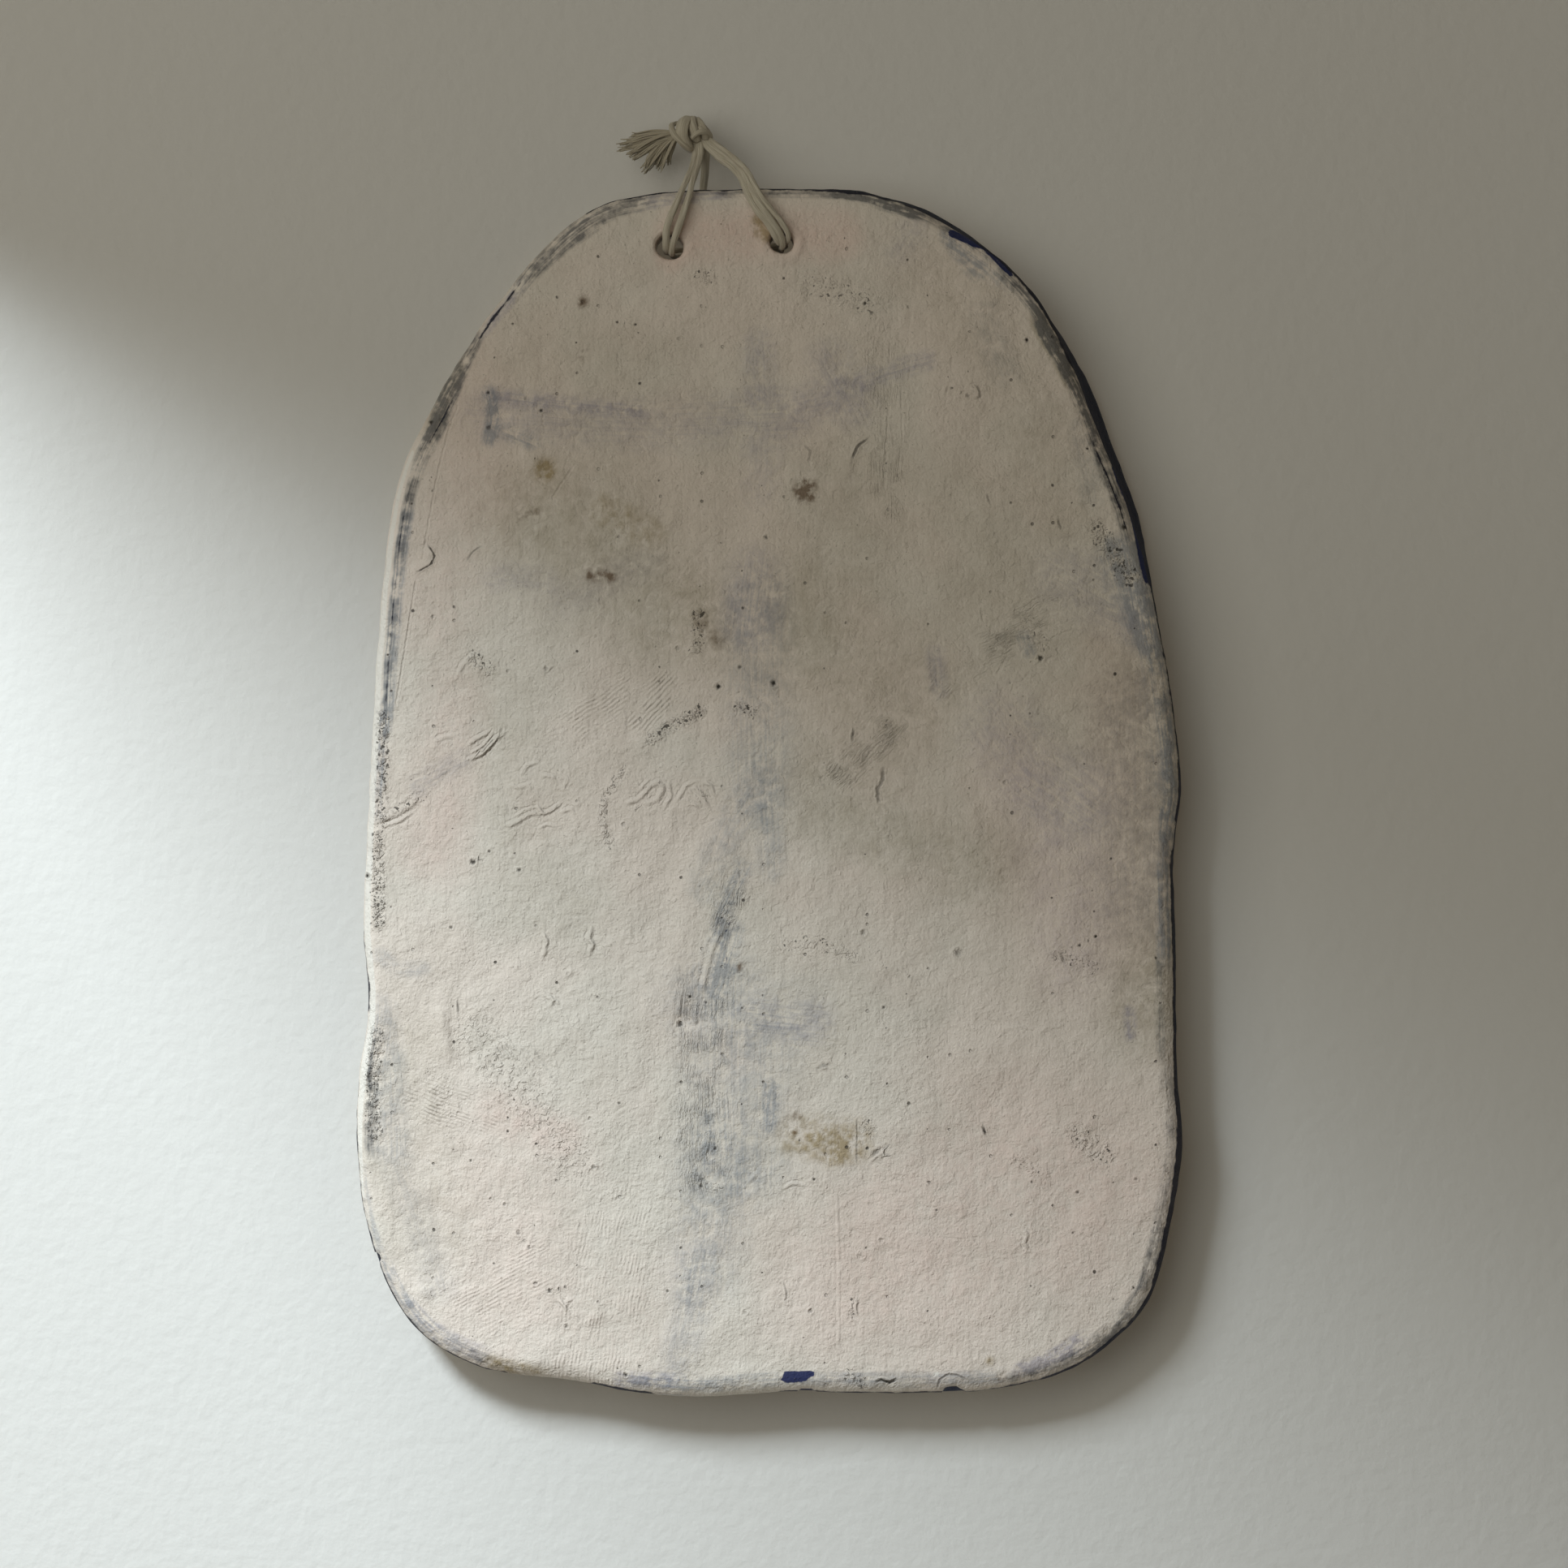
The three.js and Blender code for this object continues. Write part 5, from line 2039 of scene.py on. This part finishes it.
@dataclass(frozen=True)
class Strand:
    """A strand of yarn: a path with a flattened section whose fibres bulge and twist.

    Width is its full size along the side direction and flat its share of that across.
    Swell lists shares of the width at even steps along it.
    """

    path: tuple[Point, ...]
    width: float = 0.72
    flat: float = 0.85
    side: Point = (1.0, 0.0, 0.0)
    swell: tuple[float, ...] = (1.0, 1.0)
    plies: int = 5
    twist: float = 0.25
    seed: int = 1
    stations_per_mm: float = 5.0
    round_count: int = 28
    ply_bulge: float = 0.06
    fibre_bulge: float = 0.03
    uneven_bulge: float = 0.05

    def surface(self) -> tuple[Array, Array]:
        """Carries the section along the path.

        The section is an ellipse whose radius is raised along a few plies and a finer
        set of fibres, which turn slowly along the strand.

        Returns:
            Rings of points, and each point's round share and length along in millimetres.
        """
        length = sum(math.dist(a, b) for a, b in zip(self.path[:-1], self.path[1:]))
        count = max(12, int(length * self.stations_per_mm))
        path = smooth_path(self.path, count)
        sides, ups = carried_frames(path, self.side)
        along = np.linspace(0, length, count)[:, None]
        share = np.linspace(0, 1, count)[:, None]
        swell = np.interp(share[:, 0], np.linspace(0, 1, len(self.swell)), self.swell)[:, None]
        angle = np.linspace(0, 2 * math.pi, self.round_count, endpoint=False)[None, :]
        turned = angle + self.twist * along
        bulge = 1 + self.ply_bulge * np.cos(self.plies * turned + self.seed)
        bulge = bulge + self.fibre_bulge * np.cos(
            (2 * self.plies + 3) * turned + 2.1 * self.seed + 0.5 * np.sin(along * 1.7)
        )
        round_place = 1.2 * np.cos(angle) + 1.2 * np.sin(2 * angle) + along * 0
        bulge = bulge + self.uneven_bulge * value_noise(
            np.broadcast_to(along, bulge.shape), round_place, 0.8, 100 + self.seed
        )
        radius = self.width / 2 * swell * bulge
        rings = (
            path[:, None, :]
            + (radius * np.cos(angle))[..., None] * sides[:, None, :]
            + (radius * self.flat * np.sin(angle))[..., None] * ups[:, None, :]
        )
        around = np.broadcast_to(angle / 2 * self.width, radius.shape)
        return rings, np.stack([around, np.broadcast_to(along, radius.shape)], axis=-1)


def strand_object(name: str, strands: Sequence[Strand]) -> bpy.types.Object:
    """Makes one object of several capped strands, with fibre coordinates in a UV map.

    Args:
        name: the piece's name.
        strands: the strands.

    Returns:
        The object, whose UV map strand is round and along each strand in millimetres.
    """
    shell = Shell()
    flow = []
    for strand in strands:
        rings, fibre = strand.surface()
        numbers = shell.add(rings)
        shell.quads(numbers, closed=True, flip=True)
        shell.cap(numbers[0], flip=False)
        shell.cap(numbers[-1], flip=True)
        flow.append(fibre.reshape(-1, 2))
    points, faces = shell.gather()
    thing = make_object(name, points, faces)
    coordinates = np.concatenate(flow)
    loops = np.empty(len(thing.data.loops), np.int32)
    thing.data.loops.foreach_get("vertex_index", loops)
    layer = thing.data.uv_layers.new(name="strand")
    layer.uv.foreach_set("vector", coordinates[loops].astype(np.float32).ravel())
    return thing


def dress(thing: bpy.types.Object, material: bpy.types.Material) -> None:
    """Gives a piece its material and lets it ride on the part.

    Args:
        thing: the piece.
        material: its material.
    """
    thing.data.materials.append(material)
    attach(thing, BODY)


@dataclass
class HangingCord:
    """The yarn loop: from the knot down in front, through both holes, and up again.

    Two yarns run the whole way. A third joins them on the back, where it comes down
    behind the top edge, and goes on with them through the right hole.
    """

    diameter: float = 1.3
    length: float = 54.0
    # Painted shade: the yarn that falls behind the slab is drawn darker
    painted_shade_behind: float = 0.12
    exit: Point = (-3.65, -8.3, -12.1)
    route: tuple[Point, ...] = (
        (-0.6, -4.4, -1.35), (-0.9, -5.4, -2.6), (-1.2, -7.0, -4.2), (-1.6, -8.7, -5.9),
        (-2.1, -9.35, -7.6), (-2.8, -9.4, -9.3), (-3.35, -9.3, -10.9), (-3.6, -8.6, -11.9),
        (-3.65, -7.4, -12.3), (-3.65, -4.8, -12.35), (-3.65, -2.9, -12.35), (-3.4, -1.5, -12.3),
        (-2.6, -0.9, -12.25), (-0.6, -0.85, -12.15), (2.6, -0.85, -12.0), (5.6, -0.85, -11.85),
        (7.6, -0.95, -11.75), (8.55, -1.7, -11.7), (8.8, -3.0, -11.7), (8.85, -5.0, -11.7),
        (8.85, -7.2, -11.7), (8.7, -8.5, -11.35), (8.15, -9.3, -10.5), (7.4, -9.5, -9.3),
        (6.4, -9.45, -8.0), (5.65, -9.1, -6.5), (4.9, -7.95, -5.0), (3.85, -6.5, -3.4),
        (2.5, -5.4, -1.9), (1.4, -4.7, -0.8),
    )
    outer_yarn: Strand = Strand(
        path=(
            (-0.75, -4.1, 0.2), (-0.8, -4.6, -1.35), (-1.05, -5.5, -2.6), (-1.45, -6.9, -3.86),
            (-1.95, -8.3, -5.1), (-2.45, -9.15, -6.36), (-2.95, -9.45, -7.6), (-3.5, -9.55, -8.87),
            (-3.9, -9.5, -10.1), (-4.05, -9.2, -11.3), (-4.05, -8.3, -12.2), (-4.0, -6.8, -12.45),
            (-4.0, -4.2, -12.4), (-3.95, -2.4, -12.2), (-3.5, -1.25, -12.0), (-2.4, -0.8, -11.75),
            (0.0, -0.75, -11.7), (3.0, -0.75, -11.5), (6.2, -0.8, -11.35), (8.0, -1.2, -11.3),
            (8.6, -2.4, -11.3), (8.6, -5.0, -11.35), (8.6, -7.4, -11.6), (8.55, -8.6, -11.7),
            (8.1, -9.35, -11.0), (7.3, -9.6, -9.65), (6.25, -9.6, -8.4), (5.45, -9.3, -7.1),
            (4.83, -8.5, -5.7), (4.25, -7.3, -4.3), (3.3, -6.0, -3.05), (2.0, -5.2, -2.05),
            (0.85, -4.6, -0.9), (-0.2, -4.2, 0.3),
        ),
        width=0.82, flat=0.8, seed=2,
        swell=(1.0, 0.92, 0.8, 0.95, 1.0, 0.9, 0.9, 0.9, 0.9, 0.9, 0.9, 0.95, 1.0, 0.95, 0.9, 1.0),
    )
    inner_yarn: Strand = Strand(
        path=(
            (-0.3, -4.2, 0.3), (-0.25, -4.7, -1.35), (-0.5, -5.6, -2.6), (-0.85, -7.0, -3.86),
            (-1.15, -8.4, -5.1), (-1.4, -9.2, -6.36), (-1.8, -9.4, -7.6), (-2.2, -9.45, -8.87),
            (-2.65, -9.4, -10.1), (-3.05, -9.3, -11.2), (-3.35, -8.7, -12.1), (-3.45, -7.4, -12.75),
            (-3.4, -4.6, -12.75), (-3.3, -2.6, -12.7), (-2.9, -1.4, -12.65), (-2.0, -0.85, -12.5),
            (0.2, -0.8, -12.4), (3.2, -0.8, -12.3), (6.4, -0.85, -12.15), (8.2, -1.3, -12.1),
            (8.75, -2.6, -12.1), (8.8, -5.0, -12.1), (8.85, -7.2, -12.15), (8.95, -8.5, -11.9),
            (8.7, -9.3, -11.0), (7.95, -9.65, -9.75), (7.0, -9.75, -8.35), (6.1, -9.5, -7.0),
            (5.3, -8.75, -5.4), (4.6, -7.6, -3.9), (3.7, -6.3, -2.75), (2.4, -5.3, -1.65),
            (1.1, -4.7, -0.55), (0.0, -4.3, 0.5),
        ),
        width=0.76, flat=0.85, seed=5, twist=0.3,
        swell=(
            1.0, 0.95, 0.85, 1.0, 0.95, 0.9, 0.9, 0.9, 0.9, 0.9, 0.9, 1.0, 1.05, 0.95, 0.95, 1.0,
        ),
    )
    joining_yarn: Strand = Strand(
        path=(
            (-1.1, -0.95, -10.7), (-0.5, -0.85, -11.25), (0.8, -0.8, -11.4), (3.0, -1.2, -11.9),
            (6.3, -1.3, -11.75), (8.3, -1.7, -11.6), (9.15, -2.8, -11.6), (9.25, -5.0, -11.6),
            (9.3, -7.2, -11.5), (9.55, -8.6, -11.3), (9.45, -9.3, -10.6), (8.75, -9.55, -9.5),
            (7.65, -9.6, -8.15), (6.6, -9.4, -6.8), (5.7, -8.7, -5.1), (4.95, -7.5, -3.6),
            (3.95, -6.2, -2.4), (2.6, -5.1, -1.15), (1.3, -4.6, -0.2), (0.3, -4.3, 0.6),
        ),
        width=0.74, flat=0.85, seed=9, twist=0.35,
        swell=(0.9, 0.9, 0.9, 0.9, 0.9, 1.0, 1.05, 1.0, 0.9, 1.0),
    )
    falling_yarn: Strand = Strand(
        path=(
            (0.2, -4.0, 0.2), (0.3, -3.6, -1.0), (0.25, -3.0, -2.2), (0.15, -2.3, -3.4),
            (0.0, -1.6, -4.6), (-0.15, -1.05, -5.9), (-0.45, -0.9, -7.6), (-0.85, -0.9, -9.2),
            (-1.1, -0.95, -10.7), (-0.95, -0.9, -11.2),
        ),
        width=0.95, flat=0.75, seed=14, twist=0.2,
        swell=(1.0, 1.05, 0.95, 0.9, 0.8, 0.75, 0.75, 0.75),
    )

    def build(self, yarn: CottonYarn) -> tuple[bpy.types.Object, bpy.types.Object]:
        """Builds the loop's yarns and the one that falls behind the slab.

        Args:
            yarn: their finish.

        Returns:
            The loop and the falling yarn.
        """
        loop = strand_object("hanging_yarns", (self.outer_yarn, self.inner_yarn, self.joining_yarn))
        dress(loop, yarn.material())
        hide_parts("hanging_cord")
        behind = strand_object("yarn_behind_slab", (self.falling_yarn,))
        dress(behind, yarn.material(self.painted_shade_behind))
        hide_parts("back_yarn")
        return loop, behind


@dataclass
class Knot:
    """The overhand knot: broad bands of yarn wrapped over each other."""

    # Painted shade: the knot's yarn is drawn darker than the legs
    painted_shade: float = 0.25
    bands: tuple[Strand, ...] = (
        # Hidden heart of the knot
        Strand(
            ((-2.9, -3.9, 0.8), (-2.2, -3.9, 1.0), (-1.2, -3.9, 1.1), (-0.3, -3.9, 1.0),
             (0.4, -3.9, 0.8)),
            width=2.7, flat=0.85, seed=3, swell=(0.5, 0.95, 1.05, 1.0, 0.55), side=(0, 0, 1),
        ),
        # Broad lobe over the front left
        Strand(
            ((-1.3, -3.6, -0.85), (-1.75, -4.9, -0.55), (-2.3, -5.6, 0.35), (-2.3, -5.7, 1.4),
             (-1.95, -4.9, 2.4), (-1.6, -3.6, 2.6), (-1.5, -2.6, 2.0)),
            width=1.35, flat=0.55, seed=21, swell=(0.8, 1.0, 1.1, 1.1, 1.0, 0.8), side=(1, 0, 0),
        ),
        # Second band over the top
        Strand(
            ((-0.7, -4.6, 0.1), (-0.9, -5.6, 0.9), (-1.2, -5.5, 1.8), (-1.3, -4.6, 2.55),
             (-1.1, -3.4, 2.5)),
            width=1.05, flat=0.6, seed=22, swell=(0.9, 1.0, 1.0, 0.9), side=(1, 0, 0),
        ),
        # Third band, round the right
        Strand(
            ((0.3, -4.6, 0.3), (0.2, -5.3, 1.0), (-0.3, -5.2, 1.8), (-0.8, -4.4, 2.4),
             (-0.9, -3.2, 2.3)),
            width=0.95, flat=0.6, seed=23, swell=(0.9, 1.0, 1.0, 0.9), side=(1, 0, 0),
        ),
        # Thin loop round the root of the tail
        Strand(
            ((-2.9, -3.3, 2.25), (-3.45, -4.2, 1.95), (-3.45, -5.2, 1.3), (-3.1, -5.75, 0.55),
             (-2.4, -5.75, -0.2), (-1.6, -5.2, -0.8), (-1.2, -4.2, -0.9)),
            width=0.66, flat=0.85, seed=24, swell=(0.8, 1.0, 1.0, 1.0, 0.9),
        ),
        # Strand that crosses over the tops of the legs
        Strand(
            ((-1.25, -5.3, 0.35), (-0.75, -5.75, 0.75), (0.0, -5.7, 1.0), (0.65, -5.1, 0.95),
             (0.85, -4.4, 0.5), (0.6, -3.8, 0.2)),
            width=0.62, flat=0.85, seed=25, side=(0, 0, 1),
        ),
        Strand(
            ((-0.9, -5.2, 1.15), (-0.3, -5.55, 1.4), (0.3, -5.1, 1.35), (0.65, -4.4, 1.1),
             (0.5, -3.6, 0.9)),
            width=0.55, flat=0.85, seed=26, side=(0, 0, 1),
        ),
    )

    def build(self, yarn: CottonYarn) -> bpy.types.Object:
        """Builds the knot's bands as one piece.

        Args:
            yarn: their finish.

        Returns:
            The knot.
        """
        knot = strand_object("yarn_knot", self.bands)
        dress(knot, yarn.material(self.painted_shade))
        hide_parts("cord_knot")
        return knot


@dataclass(frozen=True)
class Bunch:
    """One bunch of the tail's fibres: where its tip is and how wide it spreads."""

    tip: Point
    spread: float
    fibres: int
    seed: int


@dataclass
class FrayedTail:
    """The cut end of the yarns, opened into bunches of fine fibres."""

    root: Point = (-3.2, -4.1, 0.75)
    root_width: float = 1.9
    fibre_width: float = 0.25
    # Painted shade: the tail's fibres are drawn darker than the legs
    painted_shade: float = 0.6
    # Spreads of each fibre's reach, bow and curl
    reach_spread: float = 0.05
    bow_spread: float = 0.12
    curl_spread: float = 0.14
    # Widths and depths that the fibres fill at the root and at the tip, and their sag
    root_share: float = 0.22
    root_depth: float = 0.5
    tip_depth: float = 0.35
    sag: float = 0.25
    bunches: tuple[Bunch, ...] = (
        Bunch((-8.7, -4.3, -0.4), 1.1, 22, 31),
        Bunch((-7.6, -4.6, -1.45), 1.2, 22, 32),
        Bunch((-6.2, -4.4, -2.75), 1.0, 20, 33),
        Bunch((-4.9, -3.9, -2.6), 1.1, 20, 34),
        Bunch((-7.6, -3.7, 0.6), 0.8, 16, 35),
        Bunch((-4.1, -3.6, -1.9), 0.8, 14, 36),
    )

    def fibre_strands(self) -> list[Strand]:
        """Lays every fibre: a bowed line from the root to its own place at the tip.

        Each starts at a random place of the root's upright line, sorted by the bunch's
        own angle, and ends at a random place round its bunch's tip, with a small bow
        and a curl at its end.

        Returns:
            The fibres.
        """
        strands = []
        root = np.array(self.root)
        for bunch in self.bunches:
            draw = np.random.default_rng(bunch.seed)
            tip = np.array(bunch.tip)
            run = tip - root
            across = np.cross(run / np.linalg.norm(run), (0, 1, 0))
            for _ in range(bunch.fibres):
                where = draw.uniform(-1, 1)
                reach = draw.normal(1.0, self.reach_spread)
                bow = draw.normal(0, self.bow_spread, 3)
                curl = draw.normal(0, self.curl_spread, 3)
                start = root + across * where * self.root_width * self.root_share
                start = start + [0, draw.uniform(-self.root_depth, self.root_depth), 0]
                end = root + run * reach + across * where * bunch.spread / 2
                end = end + [0, draw.uniform(-self.tip_depth, self.tip_depth), 0]
                places = [start - 0.12 * run]
                for share in (0.0, 0.3, 0.6, 0.85):
                    arch = math.sin(share * math.pi)
                    sag = bow * arch + [0, 0, self.sag * arch]
                    places.append(start + (end - start) * share + sag)
                places.append(end + 0.6 * curl)
                places.append(end + 0.08 * run + curl)
                strands.append(Strand(
                    tuple(tuple(p) for p in places),
                    width=self.fibre_width * draw.uniform(0.7, 1.5), flat=0.8, plies=2,
                    seed=int(draw.integers(1, 90)), stations_per_mm=2.6, round_count=7,
                    swell=(1.2, 1.1, 1.0, 0.9, 0.45),
                ))
        return strands

    def build(self, yarn: CottonYarn) -> bpy.types.Object:
        """Builds the tail's fibres as one piece.

        Args:
            yarn: their finish.

        Returns:
            The tail.
        """
        tail = strand_object("frayed_tail", self.fibre_strands())
        dress(tail, yarn.material(self.painted_shade))
        return tail


@dataclass
class Studio:
    """The camera, a pale backdrop and floor, and soft daylight from the left."""

    backdrop_y: float = 0.6
    backdrop_reach: float = 900.0
    floor_z: float = -420.0
    floor_reach: float = 700.0
    key_place: Point = (-231.0, -409.0, 192.0)
    key_facing: Point = (0.36, 0.0, -0.93)
    key_size: Pair = (240.0, 104.0)
    key_watts: float = 4.75
    key_colour: str = "#e9f6ff"
    flag_corner: Point = (-113.0, 0.4, 5.5)
    flag_reach: float = 400.0
    flag_rise: Pair = (-11.0, 86.0)
    fill_place: Point = (-340.0, -620.0, 70.0)
    fill_facing: Point = (0.48, 0.86, -0.18)
    fill_size: Pair = (760.0, 700.0)
    fill_watts: float = 1.72
    fill_colour: str = "#fffdf1"
    world_colour: str = "#fff0d6"
    world_strength: float = 0.074

    def camera(self) -> None:
        """Stands the camera square to the plaque."""
        data = bpy.data.cameras.new("camera")
        data.lens, data.sensor_width = VIEW.lens, VIEW.sensor
        camera = bpy.data.objects.new("camera", data)
        place = (VIEW.middle_x, VIEW.sharp_depth - VIEW.distance, VIEW.middle_z)
        camera.location = tuple(v * MM for v in place)
        camera.rotation_euler = (math.pi / 2, 0, 0)
        bpy.context.scene.collection.objects.link(camera)
        bpy.context.scene.camera = camera

    def plane(
        self, name: str, corners: Sequence[Point], material: bpy.types.Material
    ) -> bpy.types.Object:
        """Makes one flat face of the set.

        Args:
            name: its name.
            corners: its four corners in turn.
            material: its material.

        Returns:
            The face's object.
        """
        points = np.array(corners, float)
        thing = make_object(name, points, [np.array([[0, 1, 2, 3]])], smooth=False)
        thing.data.materials.append(material)
        return thing

    def set_pieces(self) -> None:
        """Builds the backdrop, the floor and a flag that shades the upper right."""
        paint = MattBackdrop().material()
        r, y, floor = self.backdrop_reach, self.backdrop_y, self.floor_z
        backdrop = self.plane(
            "backdrop", ((-r, y, floor), (r, y, floor), (r, y, r), (-r, y, r)), paint
        )
        backdrop.visible_shadow = False
        f = self.floor_reach
        ground = self.plane(
            "floor", ((-f, -f, floor), (f, -f, floor), (f, y, floor), (-f, y, floor)), paint
        )
        ground.visible_diffuse = False
        x, near, z = self.flag_corner
        far = near - self.flag_reach
        flag = self.plane(
            "flag",
            (
                (x, near, z), (x + self.flag_rise[0], far, z + self.flag_rise[1]),
                (x + self.flag_rise[0], far, z + self.flag_reach), (x, near, z + self.flag_reach),
            ),
            MattBackdrop(one_sided=False).material(),
        )
        flag.visible_camera = False
        flag.visible_diffuse = False
        flag.visible_glossy = False
        self.flags = bpy.data.collections.new("flags")
        self.flags.objects.link(flag)
        self.flags.collection_objects[0].light_linking.link_state = "EXCLUDE"

    def lamp(
        self, name: str, place: Point, facing: Point, size: Pair, watts: float, colour: str
    ) -> bpy.types.Object:
        """Hangs one soft light panel.

        Args:
            name: its name.
            place: its middle.
            facing: the way that it shines.
            size: its width, which lies level, and its height.
            watts: its power.
            colour: its light's colour.

        Returns:
            The lamp.
        """
        data = bpy.data.lights.new(name, "AREA")
        data.shape, data.energy = "RECTANGLE", watts
        data.size, data.size_y = size[0] * MM, size[1] * MM
        data.color = srgb(colour)[:3]
        lamp = bpy.data.objects.new(name, data)
        lamp.location = tuple(v * MM for v in place)
        lamp.rotation_euler = Vector(facing).to_track_quat("-Z", "Y").to_euler()
        lamp.visible_camera = False
        bpy.context.scene.collection.objects.link(lamp)
        return lamp

    def lights(self) -> None:
        """Lights the set: a soft key from the left, a large fill, and a dim world."""
        self.lamp(
            "key", self.key_place, self.key_facing, self.key_size, self.key_watts, self.key_colour
        )
        fill = self.lamp(
            "fill", self.fill_place, self.fill_facing, self.fill_size, self.fill_watts,
            self.fill_colour,
        )
        fill.light_linking.blocker_collection = self.flags
        world = bpy.data.worlds.new("dim room")
        world.use_nodes = True
        sky = world.node_tree.nodes["Background"]
        sky.inputs["Color"].default_value = srgb(self.world_colour)
        sky.inputs["Strength"].default_value = self.world_strength
        bpy.context.scene.world = world
        bpy.context.scene.view_settings.view_transform = "Standard"


def main() -> None:
    """Builds the plaque around the frame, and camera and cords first."""
    logging.basicConfig(level=logging.INFO, format="%(name)s: %(message)s")
    studio = Studio()
    studio.camera()
    yarn = CottonYarn()
    cord = HangingCord()
    loop, behind = cord.build(yarn)
    knot = Knot().build(yarn)
    tail = FrayedTail().build(yarn)
    slab = Slab().build()
    dress(slab, PaintedSlip().material())
    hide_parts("slab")
    studio.set_pieces()
    studio.lights()
    for piece in (loop, behind, knot, tail, slab):
        log.info("%s has %d faces", piece.name, len(piece.data.polygons))


if __name__ == "__main__":
    main()
